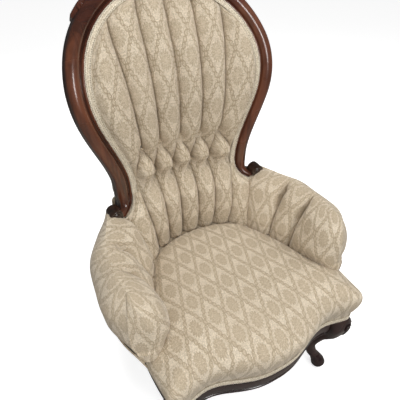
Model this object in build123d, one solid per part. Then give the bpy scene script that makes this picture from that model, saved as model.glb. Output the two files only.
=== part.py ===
"""Upholstered balloon back parlour armchair, built from its separate pieces.

Millimetres. X runs to the right of someone facing the chair, +Y to the rear, Z up.
Each piece is modelled about a datum line across the seat, then the whole chair is
moved so that its origin lies on the floor under the middle of its outline.
"""
from build123d import *
import math
import os

os.makedirs("parts", exist_ok=True)

# ---------------------------------------------------------------- driving dimensions
# Seat rails
rail_underside = 206.0          # height of the rails' lower edges above the floor
rail_height = 62.0
front_reach = 333.0             # middle of the front rail, forward of the datum
hollow_reach = 289.0            # the front rail's two hollows, forward of the datum
hollow_half_width = 190.0       # where those hollows lie, each side of the middle
bow_fullness = 1.25             # above 1 the bow of the front rail is fuller
corner_reach = 302.0            # outer front corners, forward of the datum
corner_half_width = 268.0       # where the front edge turns into the side
side_half_width = 287.0         # outer faces of the side rails near the front
side_bow = 28.0                 # how far the side rails swell past a straight line
front_rail_thickness = 30.0
side_rail_thickness = 28.0
back_rail_thickness = 30.0

# Front legs
front_leg_inner = 215.0         # inner face of the leg's head, from the middle
front_leg_rear = 238.0          # rear face of the leg's head, forward of the datum
knee_swell = 9.0                # how far the knee stands out past the head
knee_height = 236.0
ankle_height = 95.0
ankle_size = 33.0
ankle_set_back = 30.0           # how far the ankle lies inside the head, each way
toe_height = 28.0
toe_size = 42.0
toe_kick = 24.0                 # how far the toe runs out again, each way

# Rear legs and their posts
post_inner = 180.0              # inner face of the post, from the middle
post_width = 34.0
post_thickness = 22.0
rear_head_depth = 34.0          # front to back, where the rails meet it
rear_head_width = 46.0
rear_foot_size = 32.0
rear_foot_rake = 104.0          # how far the foot runs back past the head
rear_foot_splay = 10.0
post_top = 640.0                # upper end of the half lap behind the stile

# Back frame: heights run along the curved back, from the floor
back_face = 188.0               # show face of the straight lower back, behind the datum
bend_height = 768.0             # where the back begins to lean
bend_radius = 330.0
lean_angle = 30.0
frame_depth = 36.0              # from the show face's edge to the back of the frame
frame_width = 48.0
balloon_half_width = 245.0
balloon_widest = 858.0
balloon_crown = 1091.0
waist_half_width = 171.0
waist_height = 575.0
curl_radius = 51.0              # inner edge where the stile curls out under the waist
curl_drop = 16.0                # straight length of inner edge below the waist
crest_joint_angle = 37.0        # round the balloon, where the crest rail meets a stile
bead_height = 5.0
face_swell = 13.0
knob_diameter = 40.0
knob_length = 40.0
knob_out = 66.0                 # centre of the knob, outside the waist
knob_drop = 48.0                # centre of the knob, below the waist
knob_front = 46.0               # front of the knob, forward of the show face
crest_rise = 46.0               # the carved crest's top, above the frame's outer edge
crest_shoulder_rise = 8.0
crest_thickness = 30.0
crest_round = 6.0

# Upholstery of the back
upper_tuft_height = 672.0
lower_tuft_height = 590.0
upper_tufts = (0.0, 64.0, 122.0)       # tufts' distances from the middle
lower_tufts = (29.0, 89.0, 155.0)
fan_tops = (0.0, 76.0, 156.0)          # the same divides, carried up to the crown
seat_divides = (28.0, 77.0, 124.0)     # and down to the seat
fan_height = 1020.0
pipe_rise = 16.0                       # swell of a channel above its seams
pleat_width = 3.0
button_diameter = 13.0
button_thickness = 5.0
gimp_width = 13.0
gimp_thickness = 2.5

# Arms
arm_base = 372.0                # where the arm's padding begins, above the seat edge
arm_lip = 406.0                 # underside of the arm's roll
arm_top = 533.0
arm_half_width = 361.0          # widest place of the roll
arm_front = 206.0               # nose of the arm, forward of the datum
arm_rail_share = 0.5588          # how far up the arm rail lies, from the seat to the curl
arm_rail_depth = 28.0
arm_rail_thickness = 22.0
arm_stump_width = 24.0
arm_stump_depth = 44.0
arm_panel_thickness = 4.0

# Seat
seat_edge = 372.0               # height of the seat's shoulder
seat_crown = 410.0
seat_swell = 12.0               # how far the padding stands out past the rails
seat_rear = 218.0               # rear of the seat's padding, behind the datum
spring_height = 108.0
spring_radius = 38.0
spring_waist = 26.0
spring_wire = 3.6
spring_turns = 4
spring_pitch_x = 120.0
spring_pitch_y = 130.0
spring_middle = 40.0            # middle spring, forward of the datum
back_web_spacing = 118.0
webbing_width = 50.0
webbing_thickness = 2.0
cloth_thickness = 1.5

# Fixings and clearances
dowel_diameter = 10.0
dowel_length = 50.0
dowel_hole_slack = 0.1
screw_diameter = 5.0
screw_head = 10.0
screw_length = 58.0
soft_gap = 0.3                  # between padding and what it lies against
spare = 4.0                     # extra depth that is trimmed off again behind the frame
block_size = 62.0

# ---------------------------------------------------------------- derived places
rail_top = rail_underside + rail_height
lean = math.radians(lean_angle)
waist_end = waist_height - curl_drop
curl_eye = (waist_half_width + curl_radius, waist_end)
arm_rail_height = arm_base + (waist_end - curl_radius - arm_base) * arm_rail_share
knob_eye = (waist_half_width + knob_out, waist_height - knob_drop)
back_plane = back_face + frame_depth
post_outer = post_inner + post_width
rear_head_front = back_plane - rear_head_depth
rear_head_outer = post_inner + rear_head_width
balloon_rise = balloon_crown - balloon_widest
arm_shoulder = -arm_front - 4    # where the seat's edge passes in behind the arm's nose


# ---------------------------------------------------------------- shared geometry
def front_edge(x):
    """Y of the front rail's face: a bow in the middle, a hollow, then the corner."""
    out = abs(x)
    if out < hollow_half_width:
        turn = math.pi * (out / hollow_half_width) ** bow_fullness
        return -hollow_reach - (front_reach - hollow_reach) * (1 + math.cos(turn)) / 2
    share = min(1.0, (out - hollow_half_width) / (corner_half_width - hollow_half_width))
    return -hollow_reach - (corner_reach - hollow_reach) * math.sin(share * math.pi / 2) ** 2


def along(table, height):
    """Straight-line value at a height from a few (height, value) pairs in rising order."""
    if height <= table[0][0]:
        return table[0][1]
    for (low, first), (high, second) in zip(table, table[1:]):
        if height <= high:
            return first + (second - first) * (height - low) / (high - low)
    return table[-1][1]


def circle_through(a, b, c):
    """Centre and radius of the circle through three plan points."""
    first, second, third = (x * x + y * y for x, y in (a, b, c))
    d = 2 * (a[0] * (b[1] - c[1]) + b[0] * (c[1] - a[1]) + c[0] * (a[1] - b[1]))
    x = (first * (b[1] - c[1]) + second * (c[1] - a[1]) + third * (a[1] - b[1])) / d
    y = (first * (c[0] - b[0]) + second * (a[0] - c[0]) + third * (b[0] - a[0])) / d
    return x, y, math.dist((x, y), a)


side_circle = circle_through(
    (side_half_width, -front_leg_rear),
    ((side_half_width + rear_head_outer) / 2 + side_bow, (rear_head_front - front_leg_rear) / 2),
    (rear_head_outer, rear_head_front))


def side_x(y, inset=0.0):
    """Half width of the seat frame at a distance behind the datum."""
    x, middle, radius = side_circle
    return x + math.sqrt((radius - inset) ** 2 - (y - middle) ** 2)


def side_line(inset, front, rear):
    """Three plan points of the side rail's bowed face, set in by an amount."""
    return [(side_x(y, inset), y) for y in (front, (front + rear) / 2, rear)]


def front_line(grow):
    """Plan points of the seat's front edge from left to right, swollen out by an amount."""
    stops = (0.0, 70.0, 130.0, hollow_half_width, 235.0, corner_half_width)
    right = [(x + grow * 0.6 * (x / corner_half_width) ** 2, front_edge(x) - grow) for x in stops]
    return [(-x, y) for x, y in reversed(right[1:])] + right


def front_corner(grow):
    """Middle and end of the rounded corner where the front edge turns into the side."""
    return [(side_half_width + grow - 5, -corner_reach + 5 - grow * 0.8),
            (side_half_width + grow, -corner_reach + 18 - grow * 0.4)]


def on_back(x, forward, height):
    """Point of the curved back: x across, forward of the show face, height along it."""
    bend = min(max(height - bend_height, 0.0) / bend_radius, lean)
    extra = max(height - bend_height - bend_radius * lean, 0.0)
    y = back_face + bend_radius * (1 - math.cos(bend)) + extra * math.sin(bend)
    z = min(height, bend_height) + bend_radius * math.sin(bend) + extra * math.cos(bend)
    return Vector(x, y - forward * math.cos(bend), z + forward * math.sin(bend))


def round_balloon(angle):
    """Inner edge point and its outward direction, round the upper ellipse."""
    turn = math.radians(angle)
    point = (balloon_half_width * math.cos(turn), balloon_widest + balloon_rise * math.sin(turn))
    out = (math.cos(turn) * balloon_rise, math.sin(turn) * balloon_half_width)
    size = math.hypot(*out)
    return point, (out[0] / size, out[1] / size)


def down_to_waist(height):
    """Inner edge point and outward direction, from the widest place to the waist."""
    span = balloon_widest - waist_height
    swing = (balloon_half_width - waist_half_width) / 2
    turn = math.pi * (balloon_widest - height) / span
    slope = swing * math.sin(turn) * math.pi / span
    size = math.hypot(1.0, slope)
    x = waist_half_width + swing * (1 + math.cos(turn))
    return (x, height), (1 / size, -slope / size)


def round_curl(angle):
    """Inner edge point where the stile curls out below the waist."""
    turn = math.radians(angle)
    return (curl_eye[0] + curl_radius * math.cos(turn), curl_eye[1] + curl_radius * math.sin(turn))


def inner_edge(height):
    """Half width of the balloon's opening at a height along the back."""
    if height >= balloon_widest:
        share = min(1.0, (height - balloon_widest) / balloon_rise)
        return balloon_half_width * math.sqrt(1 - share * share)
    if height >= waist_height:
        return down_to_waist(height)[0][0]
    return waist_half_width


def ring(start, runs):
    """Closed wire from a start point; a run of one point is a line, of two an arc."""
    here = start
    edges = []
    for run in runs:
        if len(run) == 1:
            edges.append(Edge.make_line(here, run[0]))
        elif len(run) == 2:
            edges.append(Edge.make_three_point_arc(here, run[0], run[1]))
        else:
            edges.append(Edge.make_spline([here] + run))
        here = run[-1]
    return Wire(edges)


def flat_ring(z, start, runs):
    """The same in a level plane, from (x, y) pairs."""
    return ring(Vector(*start, z), [[Vector(*point, z) for point in run] for run in runs])


def plate(wire, thickness):
    """Solid above a level wire."""
    return Solid.extrude(Face(wire), Vector(0, 0, thickness))


def block(x1, x2, y1, y2, z1, z2):
    """Square-edged solid between two corners."""
    return Solid.make_box(x2 - x1, y2 - y1, z2 - z1, Plane((x1, y1, z1)))


def rod(start, direction, radius, length):
    """Round solid from a start point along a direction."""
    return Solid.make_cylinder(radius, length, Plane(origin=start, z_dir=direction))


def many_sided(start, direction, radius, length, end_radius=None):
    """Twelve-sided rod, for fixings and buttons too small to need a true round."""
    far = start + direction * length
    rings = []
    for centre, size in ((start, radius), (far, end_radius or radius)):
        plane = Plane(origin=centre, z_dir=direction)
        turns = [2 * math.pi * i / 12 for i in range(12)]
        rings.append(Wire.make_polygon(
            [centre + plane.x_dir * size * math.cos(turn) + plane.y_dir * size * math.sin(turn)
             for turn in turns], close=True))
    return Solid.make_loft(rings, ruled=True)


def mirrored(shape):
    """The same piece on the other side of the chair."""
    return shape.mirror(Plane.YZ)


pieces = {}


# ---------------------------------------------------------------- seat frame
def front_rail_section(x):
    """Moulded section of the front rail: bead below, swelling face, flat back."""
    face = front_edge(x)
    low, high = rail_underside, rail_top
    back = face + front_rail_thickness

    def at(set_back, height):
        return Vector(x, face + set_back, low + height)

    return ring(Vector(x, back, low), [
        [at(12, 0)],
        [at(7, 5), at(11, 10)],
        [at(2.5, rail_height * 0.55), at(1.5, rail_height)],
        [Vector(x, back, high)],
        [Vector(x, back, low)]])


def make_front_rail():
    steps = 12
    stations = [front_leg_inner * (2 * i / steps - 1) for i in range(steps + 1)]
    return Solid.make_loft([front_rail_section(x) for x in stations], ruled=True)


def make_side_rail():
    outer = side_line(0, -front_leg_rear, rear_head_front)
    inner = side_line(side_rail_thickness, -front_leg_rear, rear_head_front)
    wire = flat_ring(rail_underside, outer[0],
                     [[outer[1], outer[2]], [inner[2]], [inner[1], inner[0]], [outer[0]]])
    return plate(wire, rail_height)


def make_back_rail():
    return block(-post_inner, post_inner, back_plane - back_rail_thickness, back_plane,
                 rail_underside, rail_top)


def leg_ring(z, middle, size, corner):
    """Square section with rounded corners at one height of a leg."""
    half = size / 2
    r = corner * half
    c = r * (1 - math.sqrt(0.5))
    x, y = middle
    right, left, far, near = x + half, x - half, y + half, y - half
    return flat_ring(z, (left + r, near), [
        [(right - r, near)], [(right - c, near + c), (right, near + r)],
        [(right, far - r)], [(right - c, far - c), (right - r, far)],
        [(left + r, far)], [(left + c, far - c), (left, far - r)],
        [(left, near + r)], [(left + c, near + c), (left + r, near)]])


def make_front_leg():
    """Cabriole leg: square head, knee, ankle and a toe that kicks out on the diagonal."""
    width = side_half_width - front_leg_inner
    depth = corner_reach - front_leg_rear
    head = (front_leg_inner + width / 2, -front_leg_rear - depth / 2)
    size = (width + depth) / 2

    def out(distance):
        return (head[0] + distance, head[1] - distance)

    levels = [(rail_top, out(0), size - 6, 0.35),
              (knee_height, out(knee_swell / 2), size + knee_swell, 0.5),
              (rail_underside - 6, out(knee_swell / 3), size - 2, 0.6),
              (ankle_height + 60, out(-ankle_set_back * 0.55), size * 0.62, 0.8),
              (ankle_height, out(-ankle_set_back), ankle_size, 0.9),
              (ankle_height - 36, out(-ankle_set_back * 0.7), ankle_size, 0.9),
              (toe_height, out(toe_kick - ankle_set_back), toe_size, 0.9),
              (8, out(toe_kick - ankle_set_back + 2), toe_size * 0.86, 0.9),
              (0, out(toe_kick - ankle_set_back), toe_size * 0.6, 0.9)]
    leg = Solid.make_loft([leg_ring(*level) for level in levels], ruled=True)
    big = 2 * size
    for_rails = block(front_leg_inner - big, front_leg_inner, -front_leg_rear - big, big,
                      rail_underside, rail_top)
    behind = block(front_leg_inner - big, side_half_width + big, -front_leg_rear, big,
                   rail_underside, rail_top)
    core = block(front_leg_inner, side_half_width - 4, -corner_reach + 6, -front_leg_rear,
                 rail_underside, rail_top)
    return (leg + core) - for_rails - behind


def make_rear_leg():
    """Raked leg whose head takes the rails and whose post runs up behind the stile."""
    head = ((post_inner + rear_head_outer) / 2, back_plane - rear_head_depth / 2)
    foot = (head[0] + rear_foot_splay, head[1] + rear_foot_rake)
    levels = []
    for share, size in ((0.0, rear_foot_size), (0.2, 31.5), (0.4, 32.5), (0.6, 34.0), (0.8, 35.5),
                        (1.0, 34.0)):
        bend = (1 - share) ** 1.7
        middle = (head[0] + (foot[0] - head[0]) * bend, head[1] + (foot[1] - head[1]) * bend)
        levels.append(leg_ring(rail_underside * share, middle, size, 0.3))
    leg = Solid.make_loft(levels, ruled=True)
    head_block = block(post_inner, rear_head_outer, rear_head_front, back_plane,
                       rail_underside, rail_top)
    post = block(post_inner, post_outer, back_plane - post_thickness, back_plane,
                 rail_top, post_top)
    return leg + head_block + post


# ---------------------------------------------------------------- back frame
def frame_section(point, out, width, forward=0.0):
    """Moulded section of the balloon frame: inner bead, groove, swelling face, round edge."""
    relief = width / frame_width

    def at(across, rise):
        return on_back(point[0] + out[0] * across * width, rise + forward,
                       point[1] + out[1] * across * width)

    back = -frame_depth - forward - spare
    return ring(at(0, back), [
        [at(0, 0)],
        [at(0.09, bead_height * relief), at(0.19, relief)],
        [at(0.56, face_swell * relief), at(0.96, relief)],
        [at(1.02, -7 * relief), at(0.98, -16 * relief)],
        [at(0.92, back)],
        [at(0, back)]])


def curl_section(share):
    """Section where the stile turns out, from the waist (0) to beside the knob (1)."""
    point = round_curl(180.0 + 78.0 * share)
    away = (knob_eye[0] - point[0], knob_eye[1] - point[1])
    size = math.hypot(*away)
    turned = min(1.0, 2.5 * share)
    out = (1 + (away[0] / size - 1) * turned, away[1] / size * turned)
    width = frame_width + (knob_diameter * 0.6 - frame_width) * share
    return frame_section(point, out, width, 4 + (knob_front - face_swell) * share)


def make_stile():
    """Right-hand stile: from the crest joint down to the waist, out to a turned knob."""
    upper = [frame_section(*round_balloon(crest_joint_angle * share), frame_width)
             for share in (1.0, 0.75, 0.5, 0.25, 0.0)]
    drop = balloon_widest - waist_height
    for share in (0.14, 0.28, 0.42, 0.56, 0.7, 0.85, 1.0):
        upper.append(frame_section(*down_to_waist(balloon_widest - drop * share), frame_width))
    curl = [curl_section(i / 4) for i in range(5)]
    stile = Solid.make_loft(upper + curl, ruled=True) - behind_frame()
    radius = knob_diameter / 2
    knob = rod(on_back(knob_eye[0], knob_front - knob_length, knob_eye[1]), (0, -1, 0),
               radius, knob_length)
    knob = chamfer(knob.edges().group_by(Axis.Y)[0], radius * 0.25)
    lap = block(post_inner - frame_width, post_outer + frame_width,
                back_plane - post_thickness, back_plane + frame_depth, 0, post_top)
    return stile + knob - lap


def crest_outline():
    """Closed wire of the carved crest: a step, a hollow, two scrolls and a middle rise."""
    front = crest_thickness - frame_depth

    def at(angle, rise):
        point, out = round_balloon(angle)
        far = frame_width + rise
        return on_back(point[0] + out[0] * far, front, point[1] + out[1] * far)

    step = crest_joint_angle + 3
    high = crest_rise
    tops = [at(step, crest_shoulder_rise), at(step + 13, crest_shoulder_rise),
            at(step + 20, crest_shoulder_rise * 0.6), at(step + 28, high * 0.42),
            at(step + 34, high * 0.5), at(step + 38, high * 0.46), at(step + 44, high * 0.86),
            at(90.0, high)]
    tops += [Vector(-p.X, p.Y, p.Z) for p in reversed(tops[:-1])]
    under = [at(180 - step, -frame_width * 0.4), at(90.0, -frame_width * 0.4),
             at(step, -frame_width * 0.4)]
    return Wire([Edge.make_spline(tops), Edge.make_line(tops[-1], under[0]),
                 Edge.make_three_point_arc(*under), Edge.make_line(under[2], tops[0])])


def make_crest_rail():
    steps = 12
    turn = (180 - 2 * crest_joint_angle) / steps
    angles = [crest_joint_angle + turn * i for i in range(steps + 1)]
    rail = Solid.make_loft([frame_section(*round_balloon(angle), frame_width) for angle in angles],
                           ruled=True)
    forward = Vector(0, -math.cos(lean), math.sin(lean))
    carving = Solid.extrude(Face(crest_outline()), forward * -crest_thickness)
    point, out = round_balloon(90.0)
    middle = on_back(0, crest_thickness - frame_depth - 2, point[1] + frame_width * 0.75)
    boss = rod(middle, forward, crest_rise * 0.72, 10)
    boss = fillet(boss.edges().filter_by(GeomType.CIRCLE).sort_by(Axis.Y)[0], crest_round)
    return (rail + carving + boss) - behind_frame()


def back_slab(front, rear):
    """Sheet that follows the lean of the back between two depths behind the show face."""

    def at(behind, height):
        return on_back(0, -behind, height)

    bend_end = bend_height + bend_radius * lean
    top = balloon_crown + frame_width + 2 * crest_rise
    bottom = rail_underside
    middle = bend_height + bend_radius * lean / 2
    wire = ring(at(front, bottom), [
        [at(front, bend_height)], [at(front, middle), at(front, bend_end)], [at(front, top)],
        [at(rear, top)], [at(rear, bend_end)], [at(rear, middle), at(rear, bend_height)],
        [at(rear, bottom)], [at(front, bottom)]])
    wide = balloon_half_width + 2 * frame_width
    slab = Solid.extrude(Face(wire), Vector(wide, 0, 0))
    return slab + mirrored(slab)


def behind_frame():
    """Space behind the frame's back face, used to trim pieces flush with it."""
    return back_slab(frame_depth, 3 * frame_depth)


def elevation(margin, lower_half_width, bottom):
    """Prism, seen from the front, of the balloon with a straight skirt below its waist."""
    lean_end = bend_height + bend_radius * lean

    def at(angle):
        point, out = round_balloon(angle)
        spot = on_back(point[0] + out[0] * margin, -frame_depth, point[1] + out[1] * margin)
        return Vector(spot.X, 0, spot.Z)

    def side(height):
        point, out = down_to_waist(height)
        spot = on_back(point[0] + out[0] * margin, -frame_depth, point[1] + out[1] * margin)
        return Vector(spot.X, 0, spot.Z)

    edge_points = [at(90.0), at(60.0), at(30.0), at(0.0), side((balloon_widest + waist_height) / 2),
                   side(waist_height + 40)]
    hip = Vector(lower_half_width, 0, edge_points[-1].Z - 12)
    right = [Edge.make_spline(edge_points, tangents=[(1, 0, 0), (0, 0, -1)]),
             Edge.make_line(edge_points[-1], hip),
             Edge.make_line(hip, (lower_half_width, 0, bottom)),
             Edge.make_line((lower_half_width, 0, bottom), (0, 0, bottom)),
             Edge.make_line((0, 0, bottom), edge_points[0])]
    half = Solid.extrude(Face(Wire(right)), Vector(0, 2 * lean_end, 0))
    return half + mirrored(half)


# ---------------------------------------------------------------- back upholstery
def pad_edge(height):
    """Half width of the back pad, following the frame and then the seam with the arm."""
    curl_bottom = curl_eye[1] - curl_radius
    slack = 7 * soft_gap
    if height >= waist_end:
        return inner_edge(height) - slack
    seam = [(arm_base, 172.0), (arm_base + 68, 188.0), (curl_bottom - slack, 205.0),
            (curl_bottom + 10, round_curl(232.0)[0] - slack),
            (curl_bottom + 25, round_curl(205.0)[0] - slack),
            (waist_end, waist_half_width - slack)]
    return along(seam, height)


edge_forward = [(arm_base, 100.0), (arm_base + 68, 74.0), (505.0, 42.0), (545.0, 12.0),
                (waist_height, 2.0), (balloon_crown, 2.0)]
divide_forward = (
    [(arm_base, 26.0), (440.0, 31.0), (505.0, 25.0), (lower_tuft_height, -18.0),
     (upper_tuft_height, -33.0), (740.0, -25.0), (860.0, -23.0), (980.0, -6.0)],
    [(arm_base, 37.0), (440.0, 44.0), (505.0, 36.0), (lower_tuft_height, -12.0),
     (upper_tuft_height, -31.0), (740.0, -22.0), (860.0, -22.0), (980.0, -5.0)],
    [(arm_base, 58.0), (440.0, 61.0), (505.0, 40.0), (lower_tuft_height, 6.0),
     (upper_tuft_height, -15.0), (740.0, -8.0), (860.0, -14.0), (980.0, -4.0)])


def divide_x(upper, lower, height):
    """Where a seam lies that leaves an upper tuft and runs into a lower one."""
    return along([(arm_base, seat_divides[lower]), (lower_tuft_height, lower_tufts[lower]),
                  (upper_tuft_height, upper_tufts[upper]), (fan_height, fan_tops[upper])], height)


def divide_depth(upper, lower, height):
    """How far forward that seam lies."""
    share = along([(lower_tuft_height, 0.0), (upper_tuft_height, 1.0)], height)
    return (along(divide_forward[lower], height) * (1 - share)
            + along(divide_forward[upper], height) * share)


def pleat(height):
    """Width of the folded-in seam, which opens into a flat under each button."""
    flat = button_diameter + 2
    between = (lower_tuft_height + upper_tuft_height) / 2
    return along([(lower_tuft_height - 31, pleat_width), (lower_tuft_height, flat),
                  (between, pleat_width), (upper_tuft_height, flat),
                  (upper_tuft_height + 48, pleat_width)], height)


def back_divides(height):
    """Seams of the right half from the edge inwards, as (x, forward)."""
    routes = ((2, 2, 0.5, 0.0), (2, 1, -0.5, 0.5), (1, 1, 0.5, -0.5), (1, 0, -0.5, 0.5),
              (0, 0, 0.5, -0.5))
    limit = pad_edge(height) - gimp_width - pleat_width
    found = []
    for upper, lower, side_above, side_below in routes:
        side = along([(lower_tuft_height, side_below), (upper_tuft_height, side_above)], height)
        x = min(divide_x(upper, lower, height) + pleat(height) * side, limit)
        found.append((x, divide_depth(upper, lower, height)))
        limit = x - pleat_width * 0.9
    return found


def swell(first, second):
    """Middle point of a padded channel between two seams; a narrow fold stays flat."""
    width = abs(first[0] - second[0])
    rise = min(pipe_rise, 0.4 * width) if width > button_diameter + 4 else 0.02 * width
    return ((first[0] + second[0]) / 2, (first[1] + second[1]) / 2 + rise)


def back_pad_section(height):
    """Section of the back pad across the back, with its channels."""
    edge = pad_edge(height)
    rear = -frame_depth - spare
    shelf = post_thickness - frame_depth + 2 * soft_gap
    inset = min(post_inner - 2, edge - 2)
    lip = along(edge_forward, height)
    half = [(edge, lip), (edge - gimp_width, lip)]
    seams = back_divides(height)

    def put(point, side=1):
        return on_back(side * point[0], point[1], height)

    runs = [[put((inset, rear))], [put((inset, shelf))], [put((edge, shelf))],
            [put(half[0])], [put(half[1])]]
    here = half[1]
    for seam in seams:
        runs.append([put(swell(here, seam)), put(seam)])
        here = seam
    middle = (0.0, swell(here, (-here[0], here[1]))[1])
    runs.append([put(middle), put(here, -1)])
    for seam in list(reversed(seams[:-1])) + [half[1]]:
        runs.append([put(swell(here, seam), -1), put(seam, -1)])
        here = seam
    runs += [[put(half[0], -1)], [put((edge, shelf), -1)], [put((inset, shelf), -1)],
             [put((inset, rear), -1)]]
    return ring(put((inset, rear), -1), runs)


def make_back_strips(layer):
    """Jute strips across the back, cut from the layer between hessian and outer cloth."""
    strips = []
    low = rail_top + 70
    while low < balloon_crown - 100:
        wide = balloon_half_width + 2 * frame_width
        strips += (layer & block(-wide, wide, 0, 600, low, low + webbing_width)).solids()
        low += back_web_spacing
    return strips


def tuft_places():
    """Every tuft of the back, as (x, forward, height)."""
    places = [(side * x, along(divide_forward[i], upper_tuft_height), upper_tuft_height)
              for i, x in enumerate(upper_tufts) for side in ((1, -1) if x else (1,))]
    places += [(side * x, along(divide_forward[i], lower_tuft_height), lower_tuft_height)
               for i, x in enumerate(lower_tufts) for side in (1, -1)]
    return places


def button(start, direction):
    """Small cloth-covered button with a bevelled face."""
    radius = button_diameter / 2
    way = Vector(direction)
    bevel = button_thickness * 0.4
    disc = many_sided(start, way, radius, button_thickness - bevel)
    return disc + many_sided(start + way * (button_thickness - bevel), way, radius, bevel,
                             radius - bevel)


def dimple(start, direction):
    """Hollow of a tuft, which its button sinks into."""
    return many_sided(start, Vector(direction), button_diameter / 2 + 1, 70.0)


def make_back_pad():
    curl_bottom = curl_eye[1] - curl_radius
    heights = [arm_base + soft_gap, arm_base + 68, curl_bottom - 2 * soft_gap,
               curl_bottom + 10, curl_bottom + 25, waist_end,
               lower_tuft_height, (lower_tuft_height + upper_tuft_height) / 2,
               upper_tuft_height, upper_tuft_height + 48,
               upper_tuft_height + 96, balloon_widest, 930.0, 1000.0,
               balloon_crown - 44, balloon_crown - 16]
    pad = Solid.make_loft([back_pad_section(height) for height in heights], ruled=True)
    pad = pad - back_slab(frame_depth - soft_gap, 3 * frame_depth)
    half = pad & block(0, balloon_half_width + 9, -400, 600, 0, 1400)
    half = half - gimp_band(-3.0, gimp_width + soft_gap, 0, 70.0, 93.0)
    edge_tuft = (lower_tufts[-1], along(divide_forward[-1], lower_tuft_height))
    half = half - dimple(on_back(*edge_tuft, lower_tuft_height), Vector(0, -1, 0))
    return half + mirrored(half)


def make_back_buttons():
    forward = Vector(0, -1, 0)
    lift = button_thickness * 0.8
    return Compound([button(on_back(x, depth + lift, height), forward)
                     for x, depth, height in tuft_places()])


def gimp_band(near, far, low, high, start=90.0):
    """Band along the pad's right-hand edge, from the crown down and out under the knob."""
    stops = [round_balloon(angle) for angle in (start, 72.0, 54.0, 36.0, 18.0, 0.0)]
    drop = balloon_widest - waist_height
    stops += [down_to_waist(balloon_widest - drop * share) for share in (0.22, 0.41, 0.6, 0.8, 1.0)]
    for angle in (180.0, 205.0, 230.0, 255.0):
        turn = math.radians(angle)
        stops.append((round_curl(angle), (-math.cos(turn), -math.sin(turn))))
    sections = []
    for point, out in stops:
        corners = []
        for across, rise in ((near, low), (near, high), (far, high), (far, low)):
            height = point[1] - out[1] * across
            lip = along(edge_forward, height)
            corners.append(on_back(point[0] - out[0] * across, lip + rise, height))
        sections.append(Wire.make_polygon(corners, close=True))
    return Solid.make_loft(sections, ruled=True)


def make_frame_gimp():
    """Woven braid over the pad's edge, all round the balloon."""
    half = gimp_band(6 * soft_gap, gimp_width, soft_gap, soft_gap + gimp_thickness)
    return Compound([half, mirrored(half)])


# ---------------------------------------------------------------- arms
def arm_side(z, inset):
    """Plan of the arm's outer side under its roll: front, middle and rear points."""
    above_gimp = rail_top + gimp_width + 1
    share = max(0.0, (z - above_gimp) / (arm_lip - above_gimp))
    drawn_in = inset + gimp_thickness + soft_gap
    front, middle, rear = arm_shoulder + 1, -30.0, rear_head_front
    return [(side_x(front, drawn_in) + 33 * share, front + 12 * share),
            (side_x(middle, drawn_in) + 61 * share, middle),
            (side_x(rear, drawn_in) + 26 * share, rear)]


def arm_section(z, points, rise):
    """Level section of the right arm's padding: two folds, three swells, round nose."""
    seam, fold_rear, fold_front, nose_in, nose_out, bulge, tail, haunch, tuck = points

    def inward(first, second, amount):
        x = (first[0] + second[0]) / 2
        y = (first[1] + second[1]) / 2
        long = math.dist(first, second)
        reach = min(amount, 0.45 * long)
        return (x + (second[1] - first[1]) / long * reach, y - (second[0] - first[0]) / long * reach)

    return flat_ring(z, seam, [
        [inward(seam, fold_rear, rise), fold_rear],
        [inward(fold_rear, fold_front, rise), fold_front],
        [inward(fold_front, nose_in, rise * 1.3), nose_in],
        [inward(nose_in, nose_out, 10), nose_out],
        [bulge, tail], [haunch], [tuck], [seam]])


def arm_levels():
    """Sections of the arm from the seat up to the top of its roll."""
    front = -arm_front
    wide = arm_half_width
    tight = post_outer + 2
    end = back_plane - soft_gap
    levels = []
    for z, inner, rise in (
            (arm_base + soft_gap, [(176, 84), (209, 12), (232, -58), (272, front + 12)], 12),
            (arm_lip - 2, [(181, 94), (216, 14), (238, -58), (268, front + 6)], 13)):
        outer = arm_side(z, arm_panel_thickness + 2 * soft_gap)
        levels.append((z, inner + outer + [(tight + 4, end - 18), (tight, 198)], rise))
    levels += [
        (arm_lip + 2, [(183, 96), (218, 15), (240, -57), (264, front + 4), (320, front + 16),
                       (wide - 7, -64), (tight + 50, 182), (tight + 10, end), (tight, end)], 14),
        (432, [(190, 106), (227, 19), (247, -56), (254, front + 2), (328, front + 22),
               (wide, -64), (tight + 54, 178), (tight + 14, end), (tight, end)], 14),
        (470, [(201, 125), (243, 28), (267, -52), (262, front + 4), (332, front + 36),
               (wide, -66), (tight + 52, 172), (tight + 18, end), (tight, end)], 13),
        (arm_top - 33, [(211, 140), (258, 36), (284, -49), (273, front + 18), (326, front + 54),
                        (wide - 12, -66), (tight + 50, 160), (tight + 22, end - 4),
                        (tight, end - 4)], 11),
        (arm_top - 13, [(232, 140), (272, 41), (296, -47), (288, front + 42), (318, front + 66),
                        (wide - 28, -64), (tight + 50, 144), (tight + 32, end - 20),
                        (tight + 22, 186)], 7),
        (arm_top, [(250, 132), (284, 43), (303, -48), (299, front + 70), (309, front + 76),
                   (wide - 46, -62), (tight + 54, 130), (tight + 40, 160), (tight + 36, 152)], 4)]
    return levels


def arm_tufts():
    """Tufts of the right arm, each with the direction it faces."""
    return [(Vector(260, 37, arm_top - 31), Vector(-0.62, -0.12, 0.77).normalized()),
            (Vector(285, -49, arm_top - 36), Vector(-0.62, -0.12, 0.77).normalized())]


def arm_rail_line(inset):
    """Plan points of the right arm rail: stump end, middle, and near the post."""
    return ((312 - inset, -150), (326 - inset, 5), (post_outer + 36 - inset, 150))


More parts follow.
